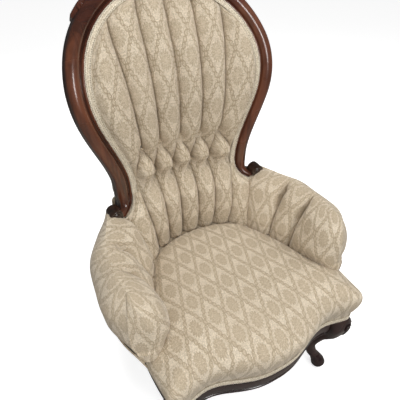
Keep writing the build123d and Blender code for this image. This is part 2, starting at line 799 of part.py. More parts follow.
def arm_rail_body(grow):
    """Bowed bar under the arm's roll, grown all round by a clearance."""
    outer = arm_rail_line(-grow)
    inner = arm_rail_line(arm_rail_thickness + grow)
    front = outer[0][1] - grow
    joint = post_outer - grow
    wire = flat_ring(arm_rail_height - grow, (outer[0][0], front), [
        [outer[1], outer[2]], [(joint, back_plane - 4 + 3 * grow)],
        [(joint, back_plane - post_thickness + 2 - grow)],
        [inner[2]], [inner[1], (inner[0][0], front)], [(outer[0][0], front)]])
    return plate(wire, arm_rail_depth + 2 * grow)


def arm_stump_body(grow):
    """Front post of the arm, leaning out from the side rail to the arm rail."""
    half_w = arm_stump_width / 2 + grow
    half_d = arm_stump_depth / 2 + grow
    foot_x = side_half_width - side_rail_thickness / 2 - 5
    head_x = arm_rail_line(arm_rail_thickness / 2)[0][0] + 1
    middle_y = arm_rail_line(0)[0][1] + arm_stump_depth / 2 - 2

    def level(z, x):
        return flat_ring(z, (x - half_w, middle_y - half_d), [
            [(x + half_w, middle_y - half_d)], [(x + half_w, middle_y + half_d)],
            [(x - half_w, middle_y + half_d)], [(x - half_w, middle_y - half_d)]])

    return Solid.make_loft([level(rail_top, foot_x), level(arm_rail_height + grow, head_x)], ruled=True)


def make_arm_pad(knob_hole, lower_stile):
    levels = arm_levels()
    pad = Solid.make_loft([arm_section(*level) for level in levels], ruled=True)
    post_hole = block(post_inner - 40, post_outer + soft_gap, back_plane - post_thickness - soft_gap,
                      back_plane + 1, rail_top, arm_top + 1)
    for hole in (arm_rail_body(2 * soft_gap), arm_stump_body(soft_gap), post_hole, knob_hole,
                 lower_stile):
        pad = pad - hole
    for place, direction in arm_tufts():
        pad = pad - dimple(place, direction)
    return pad


def make_arm_buttons():
    right = [button(place + direction * soft_gap, direction) for place, direction in arm_tufts()]
    return Compound(right + [mirrored(one) for one in right])


def make_outside_arm_panel():
    """Covered outer side of the arm, from the side rail up to the lip of the roll."""
    thick = arm_panel_thickness
    at_post = (post_outer + soft_gap, back_plane - soft_gap)

    def band(z):
        outer = arm_side(z, 0)
        inner = arm_side(z, thick)
        return flat_ring(z, outer[0], [
            [outer[1], outer[2]], [(at_post[0] + thick, at_post[1])], [at_post],
            [inner[2]], [inner[1], inner[0]], [outer[0]]])

    levels = (rail_top + soft_gap, rail_top + gimp_width + 1, (rail_top + arm_lip) / 2,
              arm_base + soft_gap, arm_lip - 2.5)
    return Solid.make_loft([band(z) for z in levels], ruled=True)


# ---------------------------------------------------------------- seat upholstery
def seat_ring(z, grow, scale, inner):
    """Level outline of the seat padding, shrunk towards its middle by a scale."""
    middle_y = -80.0

    def put(x, y):
        return (x * scale, middle_y + (y - middle_y) * scale)

    front = [put(*p) for p in front_line(grow)]
    corner = [put(*p) for p in front_corner(grow)]
    side = put(side_half_width + grow, arm_shoulder)
    waist = [put(*p) for p in inner]
    left_waist = [(-x, y) for x, y in reversed(waist[:-1])]
    left = [(-x, y) for x, y in (side, corner[1], corner[0], front[-1])]
    return flat_ring(z, front[0], [
        front[1:], corner, [side], [waist[0]], waist[1:] + left_waist,
        [left[0]], [left[1]], [left[2], left[3]]])


def make_seat_cushion():
    """Tight seat: drawn in behind the gimp, swelling over it, crowned between the arms."""
    under_arms = [(256, arm_shoulder + 3), (250, -90), (226, 30), (post_inner - 4, 150),
                  (90, seat_rear - 4), (0, seat_rear)]
    between_arms = [(261, arm_shoulder + 1), (235, -130), (206, -25), (147, 88), (76, 128), (0, 139)]
    under = gimp_thickness + soft_gap
    full = seat_edge - rail_top
    dome = seat_crown - seat_edge
    base = [(rail_top + soft_gap, -under), (rail_top + gimp_width + 2, -under),
            (rail_top + full * 0.3, seat_swell * 0.1), (rail_top + full * 0.6, seat_swell * 0.85),
            (rail_top + full * 0.8, seat_swell), (seat_edge, seat_swell * 0.45)]
    crown = [(seat_edge - 0.5, seat_swell * 0.4, 1.0), (seat_edge + dome * 0.35, -4, 0.965),
             (seat_edge + dome * 0.68, -10, 0.85), (seat_edge + dome * 0.9, -10, 0.64),
             (seat_crown, -10, 0.38)]
    body = Solid.make_loft([seat_ring(z, grow, 1.0, under_arms) for z, grow in base], ruled=True)
    top = Solid.make_loft([seat_ring(*level, between_arms) for level in crown], ruled=True)
    return (body + top) - make_spring_space(0)


def make_spring_space(shrink):
    """Hollow under the stuffing that the springs stand in."""
    half_x = spring_pitch_x + spring_radius + 14 - shrink
    half_y = spring_pitch_y + spring_radius + 10 - shrink
    top = rail_underside + spring_height + 2 * soft_gap + cloth_thickness + soft_gap
    return block(-half_x, half_x, -spring_middle - half_y, -spring_middle + half_y,
                 rail_underside - 1, top)


def spring_places():
    return [(i * spring_pitch_x, -spring_middle + j * spring_pitch_y)
            for i in (-1, 0, 1) for j in (-1, 0, 1)]


def make_spring():
    """Waisted coil of one unbroken square-drawn wire, standing on the webbing."""
    per_turn = 8
    half = spring_wire / 2
    low = rail_underside + soft_gap + half
    rise = spring_height - 2 * half
    count = spring_turns * per_turn
    sections = []
    for i in range(count + 1):
        share = i / count
        turn = 2 * math.pi * i / per_turn
        radius = spring_waist + (spring_radius - spring_waist) * (2 * share - 1) ** 2
        flat = 1.0 / spring_turns
        lift = min(max((share - flat * 0.6) / (1 - 1.2 * flat), 0.0), 1.0)
        ends = spring_wire * 1.3
        z = low + ends * min(share / (0.6 * flat), 1.0) * 0.5
        z += ends * 0.5 * max(0.0, (share - 1 + 0.6 * flat) / (0.6 * flat))
        z += (rise - ends) * lift
        out = Vector(math.cos(turn), math.sin(turn), 0)
        centre = out * radius + Vector(0, 0, z)
        up = Vector(0, 0, half)
        side = out * half
        sections.append(Wire.make_polygon([centre - side - up, centre + side - up,
                                           centre + side + up, centre - side + up], close=True))
    return Solid.make_loft(sections, ruled=True)


def make_seat_springs():
    spring = make_spring()
    return Compound([spring.moved(Location((x, y, 0))) for x, y in spring_places()])


def webbing_stops(pitch):
    return [pitch * step / 2 for step in (-2, -1, 0, 1, 2)]


def make_lengthwise_webbing():
    """Jute strips tacked under the front and back rails."""
    strips = []
    for x in webbing_stops(spring_pitch_x):
        start = max(front_edge(x - webbing_width / 2), front_edge(x + webbing_width / 2)) + 16
        strips.append(block(x - webbing_width / 2, x + webbing_width / 2, start, back_plane - 6,
                            rail_underside - webbing_thickness, rail_underside))
    return Compound(strips)


def make_crosswise_webbing():
    """Jute strips below the others, tacked under the side rails."""
    strips = []
    for offset in webbing_stops(spring_pitch_y):
        y = -spring_middle + offset
        ends = (y - webbing_width / 2, y + webbing_width / 2)
        reach = min(side_x(end, side_rail_thickness * 0.4) for end in ends)
        strips.append(block(-reach, reach, y - webbing_width / 2, y + webbing_width / 2,
                            rail_underside - 2 * webbing_thickness,
                            rail_underside - webbing_thickness))
    return Compound(strips)


def rail_plan(z, inset):
    """Level outline of the whole seat frame, drawn in by an inset."""
    front = front_line(-inset)
    corner = front_corner(-inset)
    side = side_line(inset, -front_leg_rear, rear_head_front)
    tail = (rear_head_outer - inset, back_plane - inset)
    left = [(-x, y) for x, y in (tail, side[2], side[1], side[0], corner[1], corner[0], front[-1])]
    return flat_ring(z, front[0], [
        front[1:], corner, [side[0]], [side[1], side[2]], [tail], [left[0]], [left[1]],
        [left[2], left[3]], [left[4]], [left[5], left[6]]])


def make_seat_gimp():
    """Braid round the lower edge of the cover, on the rails' outer edge."""
    outer = plate(rail_plan(rail_top + soft_gap, 0), gimp_width)
    inner = plate(rail_plan(rail_top - 1, gimp_thickness), gimp_width + 3)
    behind = block(-500, 500, rear_head_front, 500, 0, 1000)
    return outer - inner - behind


def make_dust_cover():
    """Black cambric tacked under the rails and cut round the legs."""
    low = rail_underside - 2 * webbing_thickness - soft_gap - cloth_thickness
    sheet = plate(rail_plan(low, 14), cloth_thickness)
    room = 6
    front_leg = block(front_leg_inner - room, 400, -400, -front_leg_rear + room, 0, 400)
    rear_leg = block(post_inner - room, 400, rear_head_front - room, 400, 0, 400)
    for cut in (front_leg, rear_leg):
        sheet = sheet - cut - mirrored(cut)
    return sheet


def make_hessian_over_springs():
    low = rail_underside + spring_height + 2 * soft_gap
    half_x = spring_pitch_x + spring_radius + 14 - soft_gap
    half_y = spring_pitch_y + spring_radius + 10 - soft_gap
    return block(-half_x, half_x, -spring_middle - half_y, -spring_middle + half_y,
                 low, low + cloth_thickness)


# ---------------------------------------------------------------- fixings
def rail_dowel_places():
    """Start point and direction of each dowel of the right half, centred on its joint."""
    places = []
    half = dowel_length / 2
    for z in (rail_underside + rail_height * 0.3, rail_underside + rail_height * 0.7):
        front_y = front_edge(front_leg_inner) + front_rail_thickness * 0.55
        places.append((Vector(front_leg_inner - half, front_y, z), Vector(1, 0, 0)))
        side_x = side_half_width - side_rail_thickness / 2
        places.append((Vector(side_x, -front_leg_rear - half, z), Vector(0, 1, 0)))
        rear_x = rear_head_outer - side_rail_thickness * 0.52
        places.append((Vector(rear_x, rear_head_front - half * 0.6, z), Vector(0, 1, 0)))
        back_y = back_plane - back_rail_thickness * 0.35
        places.append((Vector(post_inner - half, back_y, z), Vector(1, 0, 0)))
    return places


def rail_dowel(start, direction, grow):
    length = dowel_length * (0.8 if start.Y > 0 else 1.0)
    return many_sided(start - direction * grow, direction, dowel_diameter / 2 + grow,
                      length + 2 * grow)


def crest_dowels(grow):
    """Two pegs across the right-hand joint of crest rail and stile."""
    point, out = round_balloon(crest_joint_angle)
    tangent = (-out[1], out[0])
    pegs = []
    for share in (0.3, 0.66):
        x = point[0] + out[0] * frame_width * share
        height = point[1] + out[1] * frame_width * share
        middle = on_back(x, -frame_depth * 0.42, height)
        ahead = on_back(x + tangent[0] * 10, -frame_depth * 0.42, height + tangent[1] * 10)
        direction = (ahead - middle).normalized()
        length = 34.0
        pegs.append(many_sided(middle - direction * (length / 2 + grow), direction, 4 + grow,
                               length + 2 * grow))
    return pegs


def corner_block_plans():
    """Triangles of the right-hand corner blocks: leg corner, end on each rail."""
    gap = 1.0
    fx, fy = front_leg_inner - soft_gap / 3, -front_leg_rear + soft_gap / 3
    rail_back = -hollow_reach + front_rail_thickness
    side_inner = side_x(fy, side_rail_thickness)
    front = [(fx, rail_back + gap), (fx, fy), (side_inner - gap, fy),
             (side_inner - gap, fy + block_size * 0.7), (fx - block_size * 0.8, rail_back + gap + 2)]
    rx, ry = post_inner - soft_gap / 3, rear_head_front - soft_gap / 3
    back_inner = back_plane - back_rail_thickness - soft_gap / 3
    side_rear = side_x(ry, side_rail_thickness)
    rear = [(rx - block_size, back_inner), (rx, back_inner), (rx, ry), (side_rear - gap, ry),
            (side_rear + 6, ry - block_size * 0.9)]
    return front, rear


def corner_screw(index):
    """Start, direction: a screw through the middle of a corner block into the leg."""
    plan = corner_block_plans()[index]
    first, last = (plan[3], plan[4]) if index == 0 else (plan[4], plan[0])
    middle = Vector((first[0] + last[0]) / 2, (first[1] + last[1]) / 2,
                    rail_underside + rail_height / 2)
    if index == 0:
        aim = Vector(front_leg_inner + 24, -front_leg_rear - 24, middle.Z)
    else:
        aim = Vector(post_inner + 16, rear_head_front + 14, middle.Z)
    return middle, (aim - middle).normalized()


def screw_body(index, grow):
    start, direction = corner_screw(index)
    shank = many_sided(start + direction * 3.0, direction, screw_diameter / 2 + grow,
                       screw_length + grow)
    head = many_sided(start + direction * (1.0 - grow), direction, screw_head / 2 + grow,
                      3.0 + 2 * grow)
    return shank + head


def make_corner_block(index):
    plan = corner_block_plans()[index]
    low = rail_underside + 8
    wire = flat_ring(low, plan[0], [[p] for p in plan[1:]] + [[plan[0]]])
    start, direction = corner_screw(index)
    room = many_sided(start - direction * 30, direction, screw_head / 2 + 1, 31.0)
    return plate(wire, rail_height - 16) - screw_body(index, dowel_hole_slack) - room


# ---------------------------------------------------------------- build every piece
stile = make_stile()
crest_rail = make_crest_rail()
front_leg = make_front_leg()
rear_leg = make_rear_leg()
front_rail = make_front_rail()
side_rail = make_side_rail()
back_rail = make_back_rail()

for start, direction in rail_dowel_places():
    hole = rail_dowel(start, direction, dowel_hole_slack)
    front_leg = front_leg - hole
    rear_leg = rear_leg - hole
    side_rail = side_rail - hole
    for cut in (hole, mirrored(hole)):
        front_rail = front_rail - cut
        back_rail = back_rail - cut
for hole in crest_dowels(dowel_hole_slack):
    stile = stile - hole
    crest_rail = crest_rail - hole - mirrored(hole)
front_leg = front_leg - screw_body(0, dowel_hole_slack)
rear_leg = rear_leg - screw_body(1, dowel_hole_slack)
side_rail = side_rail - screw_body(0, dowel_hole_slack) - screw_body(1, dowel_hole_slack)

right_dowels = [rail_dowel(start, direction, 0) for start, direction in rail_dowel_places()]
right_dowels += crest_dowels(0)
right_blocks = [make_corner_block(0), make_corner_block(1)]
right_screws = [screw_body(0, 0), screw_body(1, 0)]

knob_room = rod(on_back(knob_eye[0], knob_front - knob_length - 12, knob_eye[1]), (0, -1, 0),
                knob_diameter / 2 + soft_gap, knob_length + 40)
stile_room = block(post_inner - 40, knob_eye[0] + 4, rear_head_front - 60, back_plane + 1,
                   curl_eye[1] - curl_radius - soft_gap, arm_top + 200)
arm_pad = make_arm_pad(knob_room, stile_room)

pieces["crest_rail"] = crest_rail
pieces["right_back_stile"] = stile
pieces["left_back_stile"] = mirrored(stile)
pieces["front_rail"] = front_rail
pieces["back_rail"] = back_rail
pieces["right_side_rail"] = side_rail
pieces["left_side_rail"] = mirrored(side_rail)
pieces["right_front_leg"] = front_leg
pieces["left_front_leg"] = mirrored(front_leg)
pieces["right_rear_leg"] = rear_leg
pieces["left_rear_leg"] = mirrored(rear_leg)
pieces["right_arm_rail"] = arm_rail_body(0)
pieces["left_arm_rail"] = mirrored(arm_rail_body(0))
pieces["right_arm_stump"] = arm_stump_body(0)
pieces["left_arm_stump"] = mirrored(arm_stump_body(0))
pieces["corner_blocks"] = Compound(right_blocks + [mirrored(one) for one in right_blocks])
pieces["corner_block_screws"] = Compound(right_screws + [mirrored(one) for one in right_screws])
pieces["frame_dowels"] = Compound(right_dowels + [mirrored(one) for one in right_dowels])
pieces["seat_webbing_lengthwise"] = make_lengthwise_webbing()
pieces["seat_webbing_crosswise"] = make_crosswise_webbing()
pieces["seat_springs"] = make_seat_springs()
pieces["spring_hessian"] = make_hessian_over_springs()
pieces["seat_cushion"] = make_seat_cushion()
pieces["seat_gimp"] = make_seat_gimp()
pieces["dust_cover"] = make_dust_cover()
pieces["back_pad"] = make_back_pad()
pieces["back_buttons"] = make_back_buttons()
pieces["frame_gimp"] = make_frame_gimp()
pieces["right_arm_pad"] = arm_pad
pieces["left_arm_pad"] = mirrored(arm_pad)
pieces["arm_buttons"] = make_arm_buttons()
pieces["right_outside_arm_panel"] = make_outside_arm_panel()
pieces["left_outside_arm_panel"] = mirrored(make_outside_arm_panel())

cloth_front = frame_depth + soft_gap
cloth_rear = cloth_front + cloth_thickness
web_rear = cloth_rear + webbing_thickness
panel_front = web_rear + soft_gap
pieces["back_hessian"] = back_slab(cloth_front, cloth_rear) & elevation(20, 204, rail_top + 4)
web_plan = elevation(16, 196, rail_top + 8)
web_layer = back_slab(cloth_rear, web_rear) & web_plan
pieces["back_webbing"] = Compound([part for part in make_back_strips(web_layer)])
pieces["outside_back_panel"] = (back_slab(panel_front, panel_front + 2.5)
                                & elevation(34, rear_head_outer - 4, rail_underside + 4))

# ---------------------------------------------------------------- set the origin
boxes = [shape.bounding_box() for shape in pieces.values()]
middle_y = (min(box.min.Y for box in boxes) + max(box.max.Y for box in boxes)) / 2
for name, shape in pieces.items():
    export_step(shape.moved(Location((0, -middle_y, 0))), f"parts/{name}.step")
print("pieces", len(pieces), "moved by", round(-middle_y, 3))
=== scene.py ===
"""Upholstered balloon back parlour armchair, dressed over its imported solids.

Millimetres from the chair's own datum line across the seat are turned to metres
in the shared frame by place(). The sections follow the order the chair is put
together in: frame, springs and webbing, seat, back, arms, covers, trimmings.
"""
import bpy
import bmesh
import math
from mathutils import Vector, Matrix


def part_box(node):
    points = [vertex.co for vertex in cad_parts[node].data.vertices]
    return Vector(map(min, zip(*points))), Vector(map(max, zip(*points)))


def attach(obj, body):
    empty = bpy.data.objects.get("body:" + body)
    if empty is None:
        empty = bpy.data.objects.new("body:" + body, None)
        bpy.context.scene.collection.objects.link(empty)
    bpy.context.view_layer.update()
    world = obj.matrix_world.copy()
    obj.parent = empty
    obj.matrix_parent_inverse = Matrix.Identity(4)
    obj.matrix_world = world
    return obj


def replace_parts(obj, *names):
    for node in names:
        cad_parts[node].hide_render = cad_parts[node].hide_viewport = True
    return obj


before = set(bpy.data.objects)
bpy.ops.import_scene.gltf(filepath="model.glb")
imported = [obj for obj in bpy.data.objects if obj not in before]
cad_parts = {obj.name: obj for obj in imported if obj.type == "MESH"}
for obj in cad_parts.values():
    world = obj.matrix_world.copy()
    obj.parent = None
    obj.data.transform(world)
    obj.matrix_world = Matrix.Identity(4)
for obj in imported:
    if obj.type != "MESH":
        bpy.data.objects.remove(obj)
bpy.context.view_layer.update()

# ---------------------------------------------------------------- front rail
# The front rail is one length of mahogany, sawn to a serpentine bow and run with
# a swelling face over a small bead. It is dowelled between the two front legs.
MM = 0.001
BACK_PLANE = 224.0
RAIL_UNDERSIDE = 206.0
RAIL_TOP = 268.0
FRONT_REACH = 333.0
HOLLOW_REACH = 289.0
HOLLOW_HALF_WIDTH = 190.0
BOW_FULLNESS = 1.25
CORNER_REACH = 302.0
CORNER_HALF_WIDTH = 268.0
FRONT_LEG_INNER = 215.0
FRONT_RAIL_THICKNESS = 30.0
to_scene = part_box("back_rail")[1][1] / MM - BACK_PLANE


def place(x, y, z):
    """A point in the shared frame, in metres, from the chair's own millimetres."""
    return Vector((x * MM, (y + to_scene) * MM, z * MM))


def loft(rings, capped=True):
    """Points and faces of a skin over rings that have the same number of points."""
    size = len(rings[0])
    points = [point for ring in rings for point in ring]
    last = len(points) - size
    faces = []
    for here in range(0, last, size):
        for j in range(size):
            k = (j + 1) % size
            faces.append((here + j, here + k, here + size + k, here + size + j))
    if capped:
        faces += [tuple(range(size - 1, -1, -1)), tuple(range(last, last + size))]
    return points, faces


def enrolled(name, mesh):
    """An object for a mesh, riding on the chair's one body."""
    piece = bpy.data.objects.new(name, mesh)
    bpy.context.scene.collection.objects.link(piece)
    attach(piece, "root")
    return piece


def make_piece(name, part, material, smooth_under=50.0, weave=None):
    """A piece from points and faces, with its cloth coordinates if it is woven."""
    points, faces = part
    mesh = bpy.data.meshes.new(name)
    mesh.from_pydata([place(*point) for point in points], [], faces)
    if weave:
        layer = mesh.uv_layers.new(name="weave")
        for loop in mesh.loops:
            u, v = weave[loop.vertex_index]
            layer.data[loop.index].uv = (u * MM, v * MM)
    work = bmesh.new()
    work.from_mesh(mesh)
    bmesh.ops.recalc_face_normals(work, faces=work.faces)
    work.to_mesh(mesh)
    work.free()
    mesh.shade_smooth()
    mesh.set_sharp_from_angle(angle=math.radians(smooth_under))
    mesh.materials.append(material)
    return enrolled(name, mesh)


class Wire:
    """A value in a node tree that adds, subtracts, multiplies and divides like a number."""

    def __init__(self, socket):
        self.socket = socket

    def __add__(self, other):
        return maths("ADD", self, other)

    def __sub__(self, other):
        return maths("SUBTRACT", self, other)

    def __rsub__(self, other):
        return maths("SUBTRACT", other, self)

    def __mul__(self, other):
        return maths("MULTIPLY", self, other)

    def __truediv__(self, other):
        return maths("DIVIDE", self, other)

    def __abs__(self):
        return maths("ABSOLUTE", self)


def feed(made, values):
    """Sets a node's numbered or named inputs, by a link where the value is a wire."""
    for key, value in values.items():
        if isinstance(value, Wire):
            made.id_data.links.new(value.socket, made.inputs[key])
        else:
            made.inputs[key].default_value = value


def node(tree, kind, values=None, **settings):
    """A new node with its settings and its inputs."""
    made = tree.nodes.new(kind)
    for key, value in settings.items():
        setattr(made, key, value)
    feed(made, values or {})
    return made


def wire(tree, kind, values=None, out=0, **settings):
    """One output of a new node."""
    return Wire(node(tree, kind, values, **settings).outputs[out])


def tree_of(*values):
    """The node tree that the first wire among some values belongs to."""
    return next(value.socket.id_data for value in values if isinstance(value, Wire))


def maths(operation, *values):
    return wire(tree_of(*values), "ShaderNodeMath", dict(enumerate(values)), operation=operation)


def vector_maths(operation, values):
    return wire(tree_of(*values.values()), "ShaderNodeVectorMath", values, operation=operation)


def ramp(value, low, high, to_low=0.0, to_high=1.0):
    """A value carried from one range to another, and kept inside it."""
    return wire(tree_of(value), "ShaderNodeMapRange", {"Value": value, "From Min": low, "From Max": high,
                                                       "To Min": to_low, "To Max": to_high})


def noise(where, scale, detail=2.0, rough=0.5, swirl=0.0, out="Fac"):
    return wire(tree_of(where), "ShaderNodeTexNoise", {"Vector": where, "Scale": scale, "Detail": detail,
                                                       "Roughness": rough, "Distortion": swirl}, out)


def bump(height, strength, distance):
    """A normal roughened by a height."""
    return wire(tree_of(height), "ShaderNodeBump", {"Height": height, "Strength": strength,
                                                    "Distance": distance})


def blended(share, first, second, mode="MIX"):
    """The colour between two others by a share."""
    first, second = (c if isinstance(c, Wire) else (*c, 1.0) for c in (first, second))
    return wire(tree_of(share, first, second), "ShaderNodeMix", {0: share, 6: first, 7: second}, 2,
                data_type="RGBA", blend_type=mode)


def object_place(tree):
    return wire(tree, "ShaderNodeTexCoord", out="Object")


def new_group(name, inputs, outputs, kind_of_tree="ShaderNodeTree"):
    """An empty node group: its tree, its given wires and its result node."""
    tree = bpy.data.node_groups.new(name, kind_of_tree)
    for title, kind, default in inputs:
        socket = tree.interface.new_socket(title, in_out="INPUT", socket_type="NodeSocket" + kind)
        if default is not None:
            socket.default_value = default
    for title, kind in outputs:
        tree.interface.new_socket(title, in_out="OUTPUT", socket_type="NodeSocket" + kind)
    start, result = tree.nodes.new("NodeGroupInput"), tree.nodes.new("NodeGroupOutput")
    return tree, {title: Wire(start.outputs[title]) for title, kind, default in inputs}, result


def use_group(tree, group, values):
    """The outputs of a node group used in a tree, by name."""
    made = node(tree, "ShaderNodeGroup", values, node_tree=group)
    return {socket.name: Wire(socket) for socket in made.outputs}


def new_material(name):
    """A material with an empty Principled BSDF, and that shader."""
    material = bpy.data.materials.new(name)
    material.use_nodes = True
    return material, material.node_tree, material.node_tree.nodes["Principled BSDF"]


def make_grain_group():
    """Long figure, fine pores and a cloudy stain of polished hardwood."""
    tree, given, result = new_group(
        "hardwood_grain",
        [("Place", "Vector", None), ("Stretch", "Vector", (1, 1, 0.12)), ("Light", "Color", None),
         ("Dark", "Color", None)],
        [("Colour", "Color"), ("Roughness", "Float"), ("Height", "Float")])
    run = vector_maths("MULTIPLY", {0: given["Place"], 1: given["Stretch"]})
    figure = noise(run, 38.0, 5.0, 0.62, 0.7)
    pores = noise(run, 420.0)
    cloud = noise(given["Place"], 7.0)
    share = ramp(figure * 0.7 + cloud * 0.45, 0.42, 0.72)
    feed(result, {"Colour": blended(share, given["Dark"], given["Light"]),
                  "Roughness": ramp(cloud, 0.3, 0.7, 0.2, 0.36), "Height": pores * 0.6 + figure * 0.4})
    return tree


grain = make_grain_group()


def polished_wood(name, light, dark, stretch, coat=0.5, haze=0.12):
    """Polished hardwood whose grain runs along the axis with the smallest stretch."""
    material, tree, shader = new_material(name)
    made = use_group(tree, grain, {"Place": object_place(tree), "Stretch": stretch,
                                   "Light": (*light, 1), "Dark": (*dark, 1)})
    # the hollow attribute blends the colour towards near black: painted shade in the grooves, at the inner
    # edge and on edges that turn away
    hollow = wire(tree, "ShaderNodeAttribute", out="Fac", attribute_name="hollow")
    feed(shader, {"Base Color": blended(hollow, made["Colour"], (0.012, 0.005, 0.0035)),
                  "Roughness": made["Roughness"], "Normal": bump(made["Height"], 0.05, 0.0006),
                  "Coat Weight": coat, "Coat Roughness": haze})
    return material


def mark_painted_shade(piece, amounts):
    """Keeps how much shade is painted at each point of a piece."""
    layer = piece.data.attributes.new("hollow", "FLOAT", "POINT")
    layer.data.foreach_set("value", amounts)


rail_polish = polished_wood("rail_mahogany", (0.040, 0.017, 0.015), (0.014, 0.008, 0.009),
                            (0.1, 1.0, 1.0))


def front_edge(x):
    """The front rail's face: a bow in the middle, a hollow each side, then the corner."""
    out = abs(x)
    if out < HOLLOW_HALF_WIDTH:
        turn = math.pi * (out / HOLLOW_HALF_WIDTH) ** BOW_FULLNESS
        return -HOLLOW_REACH - (FRONT_REACH - HOLLOW_REACH) * (1 + math.cos(turn)) / 2
    share = min(1.0, (out - HOLLOW_HALF_WIDTH) / (CORNER_HALF_WIDTH - HOLLOW_HALF_WIDTH))
    return -HOLLOW_REACH - (CORNER_REACH - HOLLOW_REACH) * math.sin(share * math.pi / 2) ** 2


# set back from the face, height above the underside, and how much shade is painted there
rail_mould = [(14.0, 0.0), (9.8, 0.5), (7.4, 2.2), (6.2, 4.6), (6.4, 7.2), (8.0, 9.2), (10.4, 10.2),
              (9.2, 12.4), (6.8, 16.0), (4.6, 21.0), (3.0, 27.0), (1.9, 34.0), (1.3, 42.0),
              (1.2, 50.0), (1.6, 56.0), (2.4, 60.0), (3.6, 62.0)]
rail_painted_shade = [0.8, 0.5, 0.1, 0, 0.1, 0.6, 1.0, 0.7, 0.35, 0.1, 0, 0, 0, 0, 0, 0.2, 0.4, 0, 0]
front_rings = []
for i in range(87):
    x = FRONT_LEG_INNER * (i / 43 - 1)
    face = front_edge(x)
    front_rings.append([(x, face + back, RAIL_UNDERSIDE + up) for back, up in rail_mould]
                       + [(x, face + FRONT_RAIL_THICKNESS, z) for z in (RAIL_TOP, RAIL_UNDERSIDE)])
front_rail = make_piece("front_rail_moulded", loft(front_rings), rail_polish)
mark_painted_shade(front_rail, rail_painted_shade * len(front_rings))
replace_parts(front_rail, "front_rail")

# ---------------------------------------------------------------- side rails
# Two bowed mahogany rails run from the front legs to the rear legs, with the same
# moulding on their outer faces. They are dowelled and braced by corner blocks.
FRONT_LEG_REAR = 238.0
SIDE_HALF_WIDTH = 287.0
SIDE_BOW = 28.0
SIDE_RAIL_THICKNESS = 28.0
POST_INNER = 180.0
REAR_HEAD_WIDTH = 46.0
REAR_HEAD_DEPTH = 34.0
REAR_HEAD_FRONT = BACK_PLANE - REAR_HEAD_DEPTH
REAR_HEAD_OUTER = POST_INNER + REAR_HEAD_WIDTH


def flipped(part):
    """The same shape on the other side of the chair."""
    points, faces = part
    return [(-x, y, z) for x, y, z in points], [tuple(reversed(face)) for face in faces]


SIDES = (("right", lambda part: part), ("left", flipped))


def circle_through(a, b, c):
    """Centre and radius of the circle through three plan points."""
    first, second, third = (x * x + y * y for x, y in (a, b, c))
    d = 2 * (a[0] * (b[1] - c[1]) + b[0] * (c[1] - a[1]) + c[0] * (a[1] - b[1]))
    x = (first * (b[1] - c[1]) + second * (c[1] - a[1]) + third * (a[1] - b[1])) / d
    y = (first * (c[0] - b[0]) + second * (a[0] - c[0]) + third * (b[0] - a[0])) / d
    return x, y, math.dist((x, y), a)


side_circle = circle_through(
    (SIDE_HALF_WIDTH, -FRONT_LEG_REAR),
    ((SIDE_HALF_WIDTH + REAR_HEAD_OUTER) / 2 + SIDE_BOW, (REAR_HEAD_FRONT - FRONT_LEG_REAR) / 2),
    (REAR_HEAD_OUTER, REAR_HEAD_FRONT))


def side_x(y, inset=0.0):
    """Half width of the seat frame at a distance behind the datum."""
    x, middle, radius = side_circle
    return x + math.sqrt((radius - inset) ** 2 - (y - middle) ** 2)


side_polish = polished_wood("side_rail_mahogany", (0.045, 0.018, 0.014), (0.016, 0.008, 0.008),
                            (1.0, 0.1, 1.0))
side_rings = []
for i in range(61):
    y = -FRONT_LEG_REAR + (REAR_HEAD_FRONT + FRONT_LEG_REAR) * i / 60
    side_rings.append([(side_x(y, back * 0.8), y, RAIL_UNDERSIDE + up) for back, up in rail_mould]
                      + [(side_x(y, SIDE_RAIL_THICKNESS), y, z) for z in (RAIL_TOP, RAIL_UNDERSIDE)])
right_side = loft(side_rings)
for name, turned in SIDES:
    side_rail = make_piece(name + "_side_rail_moulded", turned(right_side), side_polish)
    mark_painted_shade(side_rail, rail_painted_shade * len(side_rings))
    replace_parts(side_rail, name + "_side_rail")

# ---------------------------------------------------------------- front legs
# Short cabriole legs of mahogany: a carved knee under a square head, a slender
# ankle and a rounded toe. The knee carries a scroll cut in low relief.
KNEE_SWELL = 9.0
KNEE_HEIGHT = 236.0
ANKLE_HEIGHT = 95.0
ANKLE_SIZE = 33.0
ANKLE_SET_BACK = 30.0
TOE_HEIGHT = 28.0
TOE_SIZE = 42.0
TOE_OUT = 24.0 - ANKLE_SET_BACK
SCROLL_HEIGHT = 232.0
SCROLL_REACH = 15.0
SCROLL_SPREAD = 0.46
LEAF_TOP = 222.0
LEAF_LENGTH = 62.0


def flowing(table, at):
    """Smooth value that keeps to (place, value) pairs in rising order, with no overshoot."""
    if at <= table[0][0]:
        return table[0][1]
    if at >= table[-1][0]:
        return table[-1][1]
    slopes = [(b[1] - a[1]) / (b[0] - a[0]) for a, b in zip(table, table[1:])]

    def tangent(i):
        if i in (0, len(table) - 1):
            return slopes[0] if i == 0 else slopes[-1]
        before, after = slopes[i - 1], slopes[i]
        return 0.0 if before * after <= 0 else 2 * before * after / (before + after)

    i = max(k for k in range(len(table) - 1) if table[k][0] <= at)
    (start, first), (end, second) = table[i], table[i + 1]
    span = end - start
    t = (at - start) / span
    return (first * (1 + 2 * t) * (1 - t) ** 2 + second * t * t * (3 - 2 * t)
            + span * (tangent(i) * t * (1 - t) ** 2 - tangent(i + 1) * t * t * (1 - t)))


head_width = SIDE_HALF_WIDTH - FRONT_LEG_INNER
head_depth = CORNER_REACH - FRONT_LEG_REAR
head_size = (head_width + head_depth) / 2
head_middle = (FRONT_LEG_INNER + head_width / 2, -FRONT_LEG_REAR - head_depth / 2)
